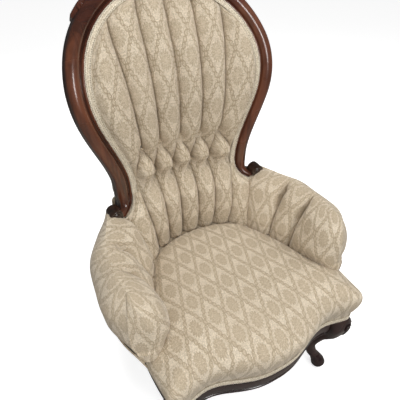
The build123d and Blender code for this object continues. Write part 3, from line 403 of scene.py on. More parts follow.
# height, distance out along the diagonal, size, squareness
leg_levels = [(0, TOE_OUT, TOE_SIZE * 0.62, 2.2), (5, TOE_OUT + 2, TOE_SIZE * 0.86, 2.2),
              (16, TOE_OUT + 3, TOE_SIZE * 1.02, 2.2), (TOE_HEIGHT, TOE_OUT, TOE_SIZE, 2.2),
              (44, -ANKLE_SET_BACK * 0.45, TOE_SIZE * 0.84, 2.2),
              (ANKLE_HEIGHT - 36, -ANKLE_SET_BACK * 0.75, ANKLE_SIZE * 1.02, 2.2),
              (ANKLE_HEIGHT, -ANKLE_SET_BACK, ANKLE_SIZE, 2.2),
              (ANKLE_HEIGHT + 60, -ANKLE_SET_BACK * 0.55, head_size * 0.62, 2.6),
              (RAIL_UNDERSIDE - 6, KNEE_SWELL / 3, head_size - 2, 3.2),
              (KNEE_HEIGHT, KNEE_SWELL / 2, head_size + KNEE_SWELL, 3.8),
              (256, KNEE_SWELL / 4, head_size + 1, 4.6), (RAIL_TOP, 0, head_size - 6, 5.2)]
leg_tables = [[(level[0], level[k]) for level in leg_levels] for k in (1, 2, 3)]


def squared(across, along, square):
    """Reach of a rounded square in a direction."""
    return (abs(across) ** square + abs(along) ** square) ** (-1 / square)


def leg_point(z, turn, lift=0.0):
    """Point on the right front leg's surface at a height and an angle round it."""
    out, size, square = (flowing(table, z) for table in leg_tables)
    across, along = math.cos(turn), math.sin(turn)
    reach = squared(across, along, square) * size / 2 + lift
    return (head_middle[0] + out + across * reach, head_middle[1] - out + along * reach, z)


def circle(count, start=0.0):
    """Cosine and sine at even steps round a full turn."""
    turns = [2 * math.pi * (k + start) / count for k in range(count)]
    return [(math.cos(turn), math.sin(turn)) for turn in turns]


def joined(*parts):
    """Several sets of points and faces as one."""
    points, faces = [], []
    for more_points, more_faces in parts:
        start = len(points)
        points += more_points
        faces += [tuple(start + corner for corner in face) for face in more_faces]
    return points, faces


def tube(path, radii, sides=10):
    """Round tube along a path, with a radius at each of its points and pointed ends."""
    rings = []
    spots = [Vector(p) for p in path]
    for i, spot in enumerate(spots):
        way = (spots[min(i + 1, len(spots) - 1)] - spots[max(i - 1, 0)]).normalized()
        side = way.cross(Vector((0, 0, 1)))
        if side.length < 0.1:
            side = way.cross(Vector((0, 1, 0)))
        side.normalize()
        top = side.cross(way).normalized()
        rings.append([tuple(spot + (side * a + top * b) * radii[i]) for a, b in circle(sides)])
    return loft(rings)


def knee_scrolls():
    """Two small volutes and a leaf, laid over the knee's outward corner."""
    parts = []
    corner = -math.pi / 4
    for side in (-1, 1):
        path, radii = [], []
        for i in range(44):
            share = i / 43
            turn = 0.4 + share * 3.6 * math.pi / 2
            swing = SCROLL_REACH * (1 - share) + 2.6
            angle = corner + side * (SCROLL_SPREAD - swing * math.cos(turn) / 48)
            path.append(leg_point(SCROLL_HEIGHT + swing * math.sin(turn), angle, 0.6))
            radii.append(0.4 + 3.2 * math.sin(math.pi * min(1, share * 1.15 + 0.08)) ** 0.7)
        parts.append(tube(path, radii))
        eye = [leg_point(SCROLL_HEIGHT, corner + side * SCROLL_SPREAD, lift) for lift in (-3, 0, 2.4, 3.6)]
        parts.append(tube(eye, [4.0, 4.0, 3.0, 0.6]))
    for k in (-2, -1, 0, 1, 2):
        path, radii = [], []
        for i in range(18):
            share = i / 17
            swing = k * 0.17 * math.sin(math.pi * (0.15 + 0.85 * share))
            path.append(leg_point(LEAF_TOP - LEAF_LENGTH * share + 5 * abs(k), corner + swing, 0.4))
            radii.append(0.3 + 2.7 * math.sin(math.pi * (0.1 + 0.9 * share)) ** 0.8)
        parts.append(tube(path, radii, 8))
    return joined(*parts)


leg_polish = polished_wood("leg_mahogany", (0.040, 0.016, 0.013), (0.012, 0.007, 0.008),
                           (1.0, 1.0, 0.15))
right_leg = loft([[leg_point(RAIL_TOP * i / 75, 2 * math.pi * k / 40) for k in range(40)]
                  for i in range(76)])
right_scrolls = knee_scrolls()
for name, turned in SIDES:
    leg = make_piece(name + "_cabriole_leg", turned(right_leg), leg_polish)
    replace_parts(leg, name + "_front_leg")
    make_piece(name + "_knee_carving", turned(right_scrolls), leg_polish)

# ---------------------------------------------------------------- rear legs
# Square raked legs, one piece with the posts that run up inside the back. The
# post is half lapped behind the foot of each back stile.
REAR_FOOT_RAKE = 104.0
REAR_FOOT_SPLAY = 10.0
POST_TOP = 640.0
POST_WIDTH = 34.0
POST_THICKNESS = 22.0
rear_head = (POST_INNER + REAR_HEAD_WIDTH / 2, BACK_PLANE - REAR_HEAD_DEPTH / 2)
rear_sizes = [(0.0, 32.0), (0.2, 31.5), (0.4, 32.5), (0.6, 34.0), (0.8, 35.5), (1.0, 34.0)]


def squared_ring(middle, width, depth, z, square=16.0):
    """Level ring of a square bar with softened corners."""
    ring = []
    for across, along in circle(32, 0.5):
        reach = squared(across, along, square) / 2
        ring.append((middle[0] + across * reach * width, middle[1] + along * reach * depth, z))
    return ring


def rear_leg_part():
    rings = []
    for i in range(41):
        share = i / 40
        bend = (1 - share) ** 1.7
        middle = (rear_head[0] + REAR_FOOT_SPLAY * bend, rear_head[1] + REAR_FOOT_RAKE * bend)
        size = flowing(rear_sizes, share)
        rings.append(squared_ring(middle, size, size, RAIL_UNDERSIDE * share, 7.0))
    head = [squared_ring(rear_head, REAR_HEAD_WIDTH, REAR_HEAD_DEPTH, z)
            for z in (RAIL_UNDERSIDE - 1, RAIL_UNDERSIDE, RAIL_TOP - 0.5)]
    post_middle = (POST_INNER + POST_WIDTH / 2, BACK_PLANE - POST_THICKNESS / 2)
    post = [squared_ring(post_middle, POST_WIDTH, POST_THICKNESS, z)
            for z in (RAIL_TOP - 1, 400.0, POST_TOP)]
    return joined(loft(rings), loft(head), loft(post))


right_rear = rear_leg_part()
for name, turned in SIDES:
    leg = make_piece(name + "_raked_leg", turned(right_rear), leg_polish)
    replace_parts(leg, name + "_rear_leg")

# ---------------------------------------------------------------- balloon frame
# The two back stiles are sawn from thick mahogany and moulded with a fine bead, a
# groove and a broad swelling face. Each ends in an outward scroll with a turned knob.
BACK_FACE = 188.0
BEND_HEIGHT = 768.0
BEND_RADIUS = 330.0
LEAN = math.radians(30.0)
FRAME_DEPTH = 36.0
FRAME_WIDTH = 48.0
BALLOON_HALF_WIDTH = 245.0
BALLOON_WIDEST = 858.0
BALLOON_CROWN = 1091.0
BALLOON_RISE = BALLOON_CROWN - BALLOON_WIDEST
WAIST_HALF_WIDTH = 171.0
WAIST_HEIGHT = 575.0
WAIST_DROP = BALLOON_WIDEST - WAIST_HEIGHT
CURL_RADIUS = 51.0
WAIST_END = WAIST_HEIGHT - 16.0
CREST_JOINT = 37.0
FACE_SWELL = 13.0
KNOB_RADIUS = 20.0
KNOB_FRONT = 46.0
KNOB_PROUD = 8.0
KNOB_OUT = 66.0
KNOB_DROP = 48.0
KNOB_SIDES = 40
CURL_SWEEP = 78.0
SCROLL_SLIMMING = 43.0
curl_eye = (WAIST_HALF_WIDTH + CURL_RADIUS, WAIST_END)
knob_eye = (WAIST_HALF_WIDTH + KNOB_OUT, WAIST_HEIGHT - KNOB_DROP)


def clamped(value):
    """A share kept between 0 and 1."""
    return min(1.0, max(0.0, value))


def mix(first, second, share):
    """The point a share of the way from one to another."""
    return tuple(a + (b - a) * share for a, b in zip(first, second))


def on_back(x, forward, height):
    """Point of the curved back: x across, forward of the show face, height along it."""
    bend = min(max(height - BEND_HEIGHT, 0.0) / BEND_RADIUS, LEAN)
    extra = max(height - BEND_HEIGHT - BEND_RADIUS * LEAN, 0.0)
    y = BACK_FACE + BEND_RADIUS * (1 - math.cos(bend)) + extra * math.sin(bend)
    z = min(height, BEND_HEIGHT) + BEND_RADIUS * math.sin(bend) + extra * math.cos(bend)
    return (x, y - forward * math.cos(bend), z + forward * math.sin(bend))


def back_circle(x, height, radius, forward, count):
    """Ring of points on the curved back round a place."""
    return [on_back(x + radius * a, forward, height + radius * b) for a, b in circle(count)]


def round_balloon(angle):
    """Inner edge point and its outward direction, round the upper ellipse."""
    turn = math.radians(angle)
    point = (BALLOON_HALF_WIDTH * math.cos(turn), BALLOON_WIDEST + BALLOON_RISE * math.sin(turn))
    out = (math.cos(turn) * BALLOON_RISE, math.sin(turn) * BALLOON_HALF_WIDTH)
    size = math.hypot(*out)
    return point, (out[0] / size, out[1] / size)


def down_to_waist(height):
    """Inner edge point and outward direction, from the widest place to the waist."""
    swing = (BALLOON_HALF_WIDTH - WAIST_HALF_WIDTH) / 2
    turn = math.pi * (BALLOON_WIDEST - height) / WAIST_DROP
    slope = swing * math.sin(turn) * math.pi / WAIST_DROP
    size = math.hypot(1.0, slope)
    x = WAIST_HALF_WIDTH + swing * (1 + math.cos(turn))
    return (x, height), (1 / size, -slope / size)


def round_curl(angle):
    """Inner edge point where the stile curls out below the waist."""
    turn = math.radians(angle)
    return (curl_eye[0] + CURL_RADIUS * math.cos(turn), curl_eye[1] + CURL_RADIUS * math.sin(turn))


def half_round(start, end, rise, count, power=0.5):
    """Profile points of a swelling between two places across the frame."""
    points = []
    for k in range(count + 1):
        share = (1 - math.cos(math.pi * k / count)) / 2
        across, level = mix(start, end, share)
        points.append((across, level + rise * max(0.0, 4 * share * (1 - share)) ** power))
    return points


# across as a share of the frame's width, rise in mm
frame_profile = [(0.0, -6.0), (0.0, -1.0)]
frame_profile += half_round((0.005, 0.0), (0.13, 0.6), 3.9, 6)
frame_profile += [(0.16, -1.6), (0.19, -1.9), (0.215, -0.6)]
frame_profile += half_round((0.235, 1.0), (0.93, 0.6), 12.2, 16, 0.62)
frame_profile += [(0.955, -1.2), (0.975, -3.4), (1.0, -6.0), (1.012, -9.5), (1.0, -14.0),
                  (0.975, -19.0), (0.94, -27.0)]
frame_profile += [(across, -FRAME_DEPTH) for across in (0.93, 0.5, 0.0)]


def painted_shade_across(across):
    """How much shade is painted across the moulding: in the groove, at the inner edge and on the outer
    edge.
    """
    groove = 0.75 * math.exp(-((across - 0.185) / 0.022) ** 2)
    inner = 0.6 if across < 0.02 else 0.0
    return max(groove, inner, clamped((across - 0.86) / 0.08) * 0.92)


# painted shade at each point of the moulding's profile
profile_painted_shade = [painted_shade_across(across) for across, rise in frame_profile]


def frame_ring(point, out, width=FRAME_WIDTH, forward=0.0, rear=-FRAME_DEPTH):
    """Moulded section of the balloon frame at a point of its inner edge."""
    ring = []
    for across, rise in frame_profile:
        lifted = max(rear, rise * width / FRAME_WIDTH + forward)
        ring.append(on_back(point[0] + out[0] * across * width,
                            rear if rise <= -FRAME_DEPTH else lifted,
                            point[1] + out[1] * across * width))
    return ring


def curl_ring(share):
    """Section where the stile turns out, from the waist (0) to beside the knob (1)."""
    point = round_curl(180.0 + CURL_SWEEP * share)
    away = (knob_eye[0] - point[0], knob_eye[1] - point[1])
    size = math.hypot(*away)
    turned = min(1.0, 2.5 * share)
    turned = turned * turned * (3 - 2 * turned)
    out = (1 + (away[0] / size - 1) * turned, away[1] / size * turned)
    long = math.hypot(*out)
    width = FRAME_WIDTH + (KNOB_RADIUS * 1.2 - FRAME_WIDTH) * share
    return frame_ring(point, (out[0] / long, out[1] / long), width,
                      4 * share + (KNOB_FRONT - FACE_SWELL) * share ** 1.3,
                      -FRAME_DEPTH + SCROLL_SLIMMING * share ** 2)


# radius, forward of the end face, and how much shade is painted there
knob_shape = [(0.05, 0.5, 0.2), (4.0, 0.2, 0.2), (8.0, -0.7, 0.2), (11.0, -1.9, 0.2),
              (12.0, -3.0, 0.9), (12.8, -3.1, 0.9), (13.8, -1.9, 0.2), (15.8, -1.1, 0.2),
              (17.8, -1.9, 0.2), (19.3, -4.2, 0.2), (20.0, -7.5, 0.2), (20.0, -12.5, 0.2),
              (19.6, -16.0, 0.2), (19.4, -18.5, 0.9), (19.6, -21.5, 0.2), (19.9, -26.0, 0.2),
              (19.6, -40.0, 0.2)]
stile_polish = polished_wood("stile_mahogany", (0.155, 0.050, 0.023), (0.048, 0.016, 0.009),
                             (1.0, 1.0, 0.09), coat=1.0, haze=0.17)
# the knob's mahogany is darker than the stile's: painted shade over its round end
shaded_knob_polish = polished_wood("knob_mahogany_painted_shade", (0.046, 0.022, 0.013), (0.018, 0.010, 0.007),
                            (1.0, 1.0, 0.2), coat=0.8, haze=0.25)
stile_rings = [frame_ring(*round_balloon(CREST_JOINT * (1 - i / 24))) for i in range(25)]
stile_rings += [frame_ring(*down_to_waist(BALLOON_WIDEST - WAIST_DROP * i / 44)) for i in range(1, 45)]
stile_rings += [curl_ring(i / 26) for i in range(27)]
right_stile = loft(stile_rings)
right_knob = loft([back_circle(*knob_eye, radius, KNOB_FRONT + KNOB_PROUD + ahead, KNOB_SIDES)
                   for radius, ahead, dark in knob_shape])
for name, turned in SIDES:
    stile = make_piece(name + "_moulded_stile", turned(right_stile), stile_polish, 40.0)
    mark_painted_shade(stile, profile_painted_shade * len(stile_rings))
    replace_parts(stile, name + "_back_stile")
    knob = make_piece(name + "_turned_knob", turned(right_knob), shaded_knob_polish, 60.0)
    mark_painted_shade(knob, [dark for radius, ahead, dark in knob_shape for k in range(KNOB_SIDES)])

# ---------------------------------------------------------------- crest rail
# The crest rail closes the balloon between the stiles and carries a carved top of
# scrolls, leaves and a flower. It is dowelled to the stiles on slanting joints.
CREST_RISE = 46.0
SHOULDER_RISE = 8.0
CREST_FACE = -6.0
CREST_OVERLAP = 12.0
ROLL_RADIUS = 4.4
FLOWER_SIDES = 64
crest_profile = [(37.0, 2.0), (40.0, SHOULDER_RISE), (46.0, SHOULDER_RISE * 1.05),
                 (53.0, SHOULDER_RISE), (60.0, SHOULDER_RISE * 0.6), (66.0, CREST_RISE * 0.38),
                 (71.0, CREST_RISE * 0.52), (75.5, CREST_RISE * 0.45), (79.0, CREST_RISE * 0.58),
                 (84.0, CREST_RISE * 0.88), (90.0, CREST_RISE)]


def crest_spot(angle, past, forward, aside=0.0):
    """Point on the crest: angle round the balloon, past the outer edge, forward, aside."""
    point, out = round_balloon(angle)
    far = FRAME_WIDTH + past
    return on_back(point[0] + out[0] * far + out[1] * aside, forward,
                   point[1] + out[1] * far - out[0] * aside)


def crest_relief(angle, share):
    """Depth of the carving: a veined leaf that lies along the crest."""
    veins = math.sin(share * 9.0 + abs(angle - 90.0) / 53.0 * 24.0) * 1.3
    swell = 4.6 * math.sin(math.pi * clamped(share) ** 0.8)
    edge = -5.0 * max(0.0, (share - 0.86) / 0.14) ** 2
    return CREST_FACE + swell + veins * math.sin(math.pi * share) + edge


def crest_plate():
    rings = []
    for i in range(133):
        angle = CREST_JOINT + 1 + (178 - 2 * CREST_JOINT) * i / 132
        high = flowing(crest_profile, min(angle, 180.0 - angle))
        ring = [crest_spot(angle, (high + CREST_OVERLAP) * share - CREST_OVERLAP,
                           crest_relief(angle, share)) for share in (k / 16 for k in range(17))]
        for past, forward in ((high + 0.6, -16.0), (high - 1.0, 4 - FRAME_DEPTH),
                              (high - 5.0, -FRAME_DEPTH), (-CREST_OVERLAP, -FRAME_DEPTH)):
            ring.append(crest_spot(angle, past, forward))
        rings.append(ring)
    return loft(rings)


def crest_scroll(angle, past, size, turns, side, start):
    """A carved volute: a tapering roll wound round an eye."""
    path, radii = [], []
    for i in range(72):
        share = i / 71
        turn = start + turns * 2 * math.pi * share
        reach = size * (1 - share) ** 0.8 + 1.5
        path.append(crest_spot(angle, past + reach * math.sin(turn), CREST_FACE + 5.0 + 2.0 * share,
                               side * reach * math.cos(turn)))
        radii.append(0.5 + ROLL_RADIUS * math.sin(math.pi * min(1.0, 0.12 + share * 0.9)) ** 0.6)
    eye = [crest_spot(angle, past, CREST_FACE + lift) for lift in (0.0, 8.0, 10.5, 11.6)]
    return joined(tube(path, radii), tube(eye, [3.6, 3.6, 2.6, 0.5]))


def crest_leaf(start, end, width):
    """A pointed leaf with a raised midrib, curling along the crest between two places."""
    rings = []
    for i in range(19):
        share = i / 18
        angle, past = mix(start, end, share)
        past += 5 * math.sin(math.pi * share)
        half = width * math.sin(math.pi * min(1.0, 0.06 + share * 0.94)) ** 0.8 / 2 + 0.2
        ring = []
        for k in range(9):
            t = -1 + k / 4
            rib = 3.6 + (1 - abs(t)) * 3.0 + (0.8 if k % 2 else 0.0)
            ring.append(crest_spot(angle, past + t * half, CREST_FACE + rib))
        ring += [crest_spot(angle, past + way * half * 0.9, CREST_FACE - 2) for way in (1, -1)]
        rings.append(ring)
    return loft(rings)


def crest_flower():
    """The flower at the middle: eight cupped petals round a small dome."""
    middle = (0.0, BALLOON_CROWN + FRAME_WIDTH * 0.75)
    reach = CREST_RISE * 0.72
    rings = [back_circle(*middle, 0.2, CREST_FACE + 10.5, FLOWER_SIDES)]
    for i in range(1, 15):
        share = i / 14
        ring = []
        for a, b in circle(FLOWER_SIDES):
            petal = abs(math.cos(math.atan2(b, a) * 4))
            radius = reach * share * (0.8 + 0.2 * petal ** 0.6)
            cup = 10.5 - 7.5 * share ** 2 + 3.4 * math.sin(math.pi * share) * petal ** 0.5
            cup -= 3.0 * math.exp(-((share - 0.3) / 0.07) ** 2)
            ring.append(on_back(radius * a, CREST_FACE + cup, middle[1] + radius * b))
        rings.append(ring)
    rings.append(back_circle(*middle, reach * 0.9, CREST_FACE - 8, FLOWER_SIDES))
    return loft(rings)


crest_polish = polished_wood("crest_mahogany", (0.120, 0.034, 0.018), (0.042, 0.014, 0.009),
                             (0.12, 1.0, 1.0), coat=0.6)
crest_rings = [frame_ring(*round_balloon(CREST_JOINT + (180 - 2 * CREST_JOINT) * i / 84))
               for i in range(85)]
crest = make_piece("moulded_crest_rail", loft(crest_rings), crest_polish, 40.0)
mark_painted_shade(crest, profile_painted_shade * len(crest_rings))
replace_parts(crest, "crest_rail")
carved = [crest_plate(), crest_flower()]
for side in (1, -1):
    for angle, past, size, turns, start in ((68.0, 6.0, 16.0, 1.6, 2.4), (80.5, 12.0, 17.0, 1.5, 1.2),
                                            (45.0, -3.0, 9.0, 1.4, 2.8)):
        carved.append(crest_scroll(90 - side * (90 - angle), past, size, turns, side, start))
    for first, second, width in (((74.0, 2.0), (60.0, -2.0), 15.0), ((62.0, -2.0), (49.0, 0.0), 11.0),
                                 ((83.0, 26.0), (76.0, 14.0), 12.0)):
        carved.append(crest_leaf((90 - side * (90 - first[0]), first[1]),
                                 (90 - side * (90 - second[0]), second[1]), width))
make_piece("crest_carving", joined(*carved), crest_polish, 55.0)

# ---------------------------------------------------------------- inner frame
# What the covers hide is plain beech: the back rail, the arm rails and stumps, the
# glued corner blocks and the dowels. Steel wood screws hold the blocks.
beech, beech_tree, beech_shader = new_material("inner_beech")
beech_grain = use_group(beech_tree, grain, {"Place": object_place(beech_tree),
                                            "Stretch": (0.15, 0.6, 1.0),
                                            "Light": (0.46, 0.30, 0.17, 1),
                                            "Dark": (0.33, 0.20, 0.11, 1)})
feed(beech_shader, {"Base Color": beech_grain["Colour"], "Roughness": 0.7,
                    "Normal": bump(beech_grain["Height"], 0.3, 0.0008)})
steel, steel_tree, steel_shader = new_material("spring_steel")
steel_cloud = noise(object_place(steel_tree), 90.0, 4.0)
feed(steel_shader, {"Base Color": blended(steel_cloud, (0.10, 0.09, 0.08), (0.30, 0.29, 0.28)),
                    "Roughness": ramp(steel_cloud, 0.0, 1.0, 0.25, 0.6), "Metallic": 0.9})
for material, names in (
        (beech, ("back_rail", "right_arm_rail", "left_arm_rail", "right_arm_stump", "left_arm_stump",
                 "corner_blocks", "frame_dowels")),
        (steel, ("seat_springs", "corner_block_screws"))):
    for name in names:
        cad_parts[name].data.materials.clear()
        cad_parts[name].data.materials.append(material)

# ---------------------------------------------------------------- webbing and hessian
# Jute webbing is tacked under the rails in both directions and across the back.
# Hessian is stretched over the springs and over the back webbing to hold the stuffing.
WEB_WIDTH = 50.0
WEB_THICKNESS = 2.0
SPRING_PITCH_X = 120.0
SPRING_PITCH_Y = 130.0
SPRING_MIDDLE = 40.0
SPRING_RADIUS = 38.0
SPRING_HEIGHT = 108.0
HESSIAN_OVERLAP = (13.7, 9.7)
BACK_WEB_LOW = RAIL_TOP + 70.0
BACK_WEB_PITCH = 118.0
BACK_SKIRT = 203.0
RAIL_LAP = 16.0
HESSIAN_THICKNESS = 1.3


def make_weave_group():
    """Plain over-and-under weave from two sets of threads."""
    tree, given, result = new_group("plain_weave", [("Place", "Vector", None), ("Threads", "Float", 900.0)],
                                    [("Height", "Float"), ("Fleck", "Float")])
    split = node(tree, "ShaderNodeSeparateXYZ", {0: given["Place"]})
    waves = [maths("SINE", Wire(split.outputs[axis]) * (given["Threads"] * math.pi)) for axis in (0, 1)]
    feed(result, {"Height": waves[0] * waves[1] * 0.5 + 0.5, "Fleck": noise(given["Place"], 260.0, 3.0)})
    return tree


plain_weave = make_weave_group()


def plain_cloth(name, light, dark, threads, depth):
    """Plain woven cloth on its own weave coordinates."""
    material, tree, shader = new_material(name)
    where = wire(tree, "ShaderNodeUVMap", uv_map="weave")
    made = use_group(tree, plain_weave, {"Place": where, "Threads": threads})
    feed(shader, {"Base Color": blended(made["Height"] * 0.6 + made["Fleck"] * 0.4, dark, light),
                  "Normal": bump(made["Height"], 0.6, depth), "Roughness": 0.9, "Sheen Weight": 0.15})
    return material


jute = plain_cloth("jute_webbing", (0.46, 0.33, 0.18), (0.24, 0.16, 0.08), 420.0, 0.0008)
hessian = plain_cloth("hessian", (0.50, 0.38, 0.22), (0.26, 0.18, 0.09), 520.0, 0.0007)


def woven_strips(name, strips, replaced):
    """Strips of jute webbing with softened edges, each from a corner, two ways and a length."""
    parts, weave = [], []
    thick = WEB_THICKNESS * 0.96
    section = [(0.0, 0.3), (0.02, 0.0), (0.98, 0.0), (1.0, 0.3), (1.0, 0.7), (0.98, 1.0), (0.02, 1.0),
               (0.0, 0.7)]
    for corner, along, across, long in strips:
        start, run, side = Vector(corner), Vector(along), Vector(across)
        rings = []
        for i in range(41):
            rings.append([tuple(start + run * long * i / 40 + side * WEB_WIDTH * a
                                + Vector((0, 0, thick * b))) for a, b in section])
            weave += [(WEB_WIDTH * a, long * i / 40) for a, b in section]
        parts.append(loft(rings))
    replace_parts(make_piece(name, joined(*parts), jute, 30.0, weave), replaced)


lengthwise, crosswise = [], []
for step in (-2, -1, 0, 1, 2):
    x = SPRING_PITCH_X * step / 2 - WEB_WIDTH / 2
    start = max(front_edge(x), front_edge(x + WEB_WIDTH)) + RAIL_LAP
    lengthwise.append(((x, start, RAIL_UNDERSIDE - WEB_THICKNESS), (0, 1, 0), (1, 0, 0),
                       BACK_PLANE - 6 - start))
    y = -SPRING_MIDDLE + SPRING_PITCH_Y * step / 2 - WEB_WIDTH / 2
    reach = min(side_x(end, SIDE_RAIL_THICKNESS * 0.4) for end in (y, y + WEB_WIDTH))
    crosswise.append(((-reach, y, RAIL_UNDERSIDE - 2 * WEB_THICKNESS), (1, 0, 0), (0, 1, 0), 2 * reach))
woven_strips("lengthwise_webbing", lengthwise, "seat_webbing_lengthwise")
woven_strips("crosswise_webbing", crosswise, "seat_webbing_crosswise")


def balloon_half(height, margin, skirt, hip=WAIST_HEIGHT + 40.0):
    """Half width of a cover that follows the balloon and drops straight below the hip."""
    if height >= BALLOON_WIDEST:
        share = min(0.9999, (height - BALLOON_WIDEST) / (BALLOON_RISE + margin))
        return (BALLOON_HALF_WIDTH + margin) * math.sqrt(1 - share * share)
    edge = down_to_waist(max(height, hip, WAIST_HEIGHT))[0][0] + margin
    return edge + (skirt - edge) * clamped((hip - height) / 12.0)


def curved_sheet(name, material, replaced, low, rows, columns, margin, skirt, hip, behind, thick):
    """Cloth stretched over the back frame from a height to past the crown, following its lean."""
    heights = [low + (BALLOON_WIDEST - low) * i / rows for i in range(rows)]
    heights += [BALLOON_WIDEST + (BALLOON_RISE + margin) * math.sin(math.pi / 2 * i / 30)
                for i in range(30)]
    rings, weave = [], []
    for height in heights:
        half = balloon_half(height, margin, skirt, hip)
        across = [half * (2 * k / columns - 1) for k in range(columns + 1)]
        both = [(x, -behind) for x in across] + [(x, -behind - thick) for x in reversed(across)]
        rings.append([on_back(x, forward, height) for x, forward in both])
        weave += [(x, height) for x, forward in both]
    piece = make_piece(name, loft(rings), material, 40.0, weave)
    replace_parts(piece, replaced)
    return piece


back_hessian = curved_sheet("hessian_over_back", hessian, "back_hessian", low=RAIL_TOP + 5,
                            rows=60, columns=40, margin=19.0, skirt=BACK_SKIRT,
                            hip=WAIST_HEIGHT + 40.0, behind=FRAME_DEPTH + 0.4,
                            thick=HESSIAN_THICKNESS)
back_strips, back_weave = [], []
for step in range(6):
    low = BACK_WEB_LOW + BACK_WEB_PITCH * step
    rings = []
    for k in range(31):
        ring = []
        for up, depth in ((0.0, 0.2), (0.0, 1.8), (1.0, 1.8), (1.0, 0.2)):
            height = low + WEB_WIDTH * up
            reach = (balloon_half(height, 15.0, 195.0) if height < 1050 else 120.0) * (k / 15 - 1)
            ring.append(on_back(reach, -(FRAME_DEPTH + 1.8 + depth), height))
            back_weave.append((WEB_WIDTH * up, reach))
        rings.append(ring)
    back_strips.append(loft(rings))
back_webs = make_piece("back_webbing_strips", joined(*back_strips), jute, 30.0, back_weave)
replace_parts(back_webs, "back_webbing")

half_x = SPRING_PITCH_X + SPRING_RADIUS + HESSIAN_OVERLAP[0]
half_y = SPRING_PITCH_Y + SPRING_RADIUS + HESSIAN_OVERLAP[1]
hessian_low = RAIL_UNDERSIDE + SPRING_HEIGHT + 0.6
rings, weave = [], []
for i in range(49):
    y = -SPRING_MIDDLE + half_y * (i / 24 - 1)
    top = [(half_x * (k / 24 - 1), y, hessian_low + 1.45) for k in range(49)]
    under = [(x, y, hessian_low + 0.05) for x, y, z in reversed(top)]
    rings.append(top + under)
    weave += [(x, y) for x, y, z in top + under]
spring_cover = make_piece("hessian_over_springs", loft(rings), hessian, 30.0, weave)
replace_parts(spring_cover, "spring_hessian")

# ---------------------------------------------------------------- sprung seat
# A tight sprung seat: stuffing over the hessian, covered in cream and tan damask
# that is drawn over the swelling front edge and tacked to the rails under a braid.
SEAT_EDGE = 372.0
SEAT_MIDDLE = -80.0
ARM_SHOULDER = -210.0
REPEAT_ACROSS = 61.5
REPEAT_DEEP = 140.0
MEDALLION = (15.5, 24.5)
LINK_HALF_WIDTH = 0.088
LINKS_PER_REPEAT = 5.0
# how one repeat of the figure lies on the seat, across and front to back
FIGURE_ACROSS = (57.5, 8.5)
FIGURE_DEEP = (-2.0, 138.0)
FIGURE_MIDDLE = (-2.0, -178.0)
CREAM = (0.585, 0.492, 0.365)
PALE = (0.740, 0.650, 0.515)
TAN = (0.465, 0.378, 0.265)
DEEP_TAN = (0.300, 0.234, 0.150)
FADED = (0.58, 0.475, 0.345)


def make_damask_group():
    """Woven trellis of twisted bands with a leafy medallion in every opening."""
    tree, given, result = new_group(
        "trellis_damask",
        [("Place", "Vector", None), ("Across", "Float", REPEAT_ACROSS * MM),
         ("Deep", "Float", REPEAT_DEEP * MM)],
        [(title, "Float") for title in ("Figure", "Outline", "Band", "Dark", "Ground", "Height")])
    # the loom's small irregularities
    moved = given["Place"]
    for scale, amount in ((45.0, 0.0045), (230.0, 0.0036)):
        wander = noise(given["Place"], scale, 1.0, out="Color")
        shake = vector_maths("SUBTRACT", {0: wander, 1: (0.5, 0.5, 0.5)})
        shake = vector_maths("SCALE", {0: shake, "Scale": amount})
        moved = vector_maths("ADD", {0: moved, 1: shake})
    split = node(tree, "ShaderNodeSeparateXYZ", {0: moved})
    u, v = Wire(split.outputs[0]) / given["Across"], Wire(split.outputs[1]) / given["Deep"]
    lines = (u + v, u - v)
    offsets = [line - maths("ROUND", line) for line in lines]
    # a chain of oval links along each line of the trellis
    links, rings = [], []
    for offset, other in zip(offsets, reversed(lines)):
        wide = (0.5 - abs(offset)) * (1 / LINK_HALF_WIDTH)
        slant = maths("SIGN", offset) * wide * 0.17
        run = (maths("FRACT", other * LINKS_PER_REPEAT + slant) - 0.5) * 1.95
        reach = maths("SQRT", run * run + wide * wide)
        links.append(ramp(reach, 1.16, 1.0))
        rings.append(ramp(reach, 0.55, 0.85) * links[-1])
    band = maths("MAXIMUM", *links)
    clear = 1.0 - band
    # place inside the opening, over the medallion's half width and half height
    x = (offsets[0] + offsets[1]) * 0.5 * (REPEAT_ACROSS / MEDALLION[0])
    y = (offsets[0] - offsets[1]) * 0.5 * (REPEAT_DEEP / MEDALLION[1])
    radius = maths("SQRT", x * x + y * y)
    lobes = abs(maths("SINE", maths("ARCTAN2", x, y) * 7.0))
    within = lobes * 0.24 + 0.78 - radius
    medallion = ramp(within, -0.05, 0.05)
    halo = ramp(abs(within + 0.15), 0.15, 0.05) * ramp(abs(y), 0.0, 0.9, 0.5, 0.9)
    # leaves drawn inside the medallion, as fine pale and dark lines
    ribs = maths("POWER", lobes, 4.0)
    drawn = ramp(maths("SINE", radius * 15.0), 0.3, 0.95) * (1.0 - ribs * 0.5)
    vein = ribs * ramp(radius, 0.2, 0.5) * medallion
    # a thin dark edge outside the pale one, and pale corners above and below
    edge_line = ramp(abs(within + 0.02), 0.09, 0.03)
    corner = ramp(radius, 1.15, 1.35) * ramp(abs(y) - abs(x), 0.35, 0.8)
    pale = maths("MAXIMUM", maths("MAXIMUM", halo, drawn * medallion * 0.22), corner * 0.85)
    dark = maths("MAXIMUM", maths("MAXIMUM", vein * 0.55, maths("MAXIMUM", *rings) * band),
                 edge_line * 0.4)
    feed(result, {"Figure": medallion * clear, "Outline": pale * clear, "Band": band, "Dark": dark,
                  "Ground": clear * (1.0 - medallion), "Height": band * 0.8 + medallion * 0.6})
    return tree


damask_figure = make_damask_group()


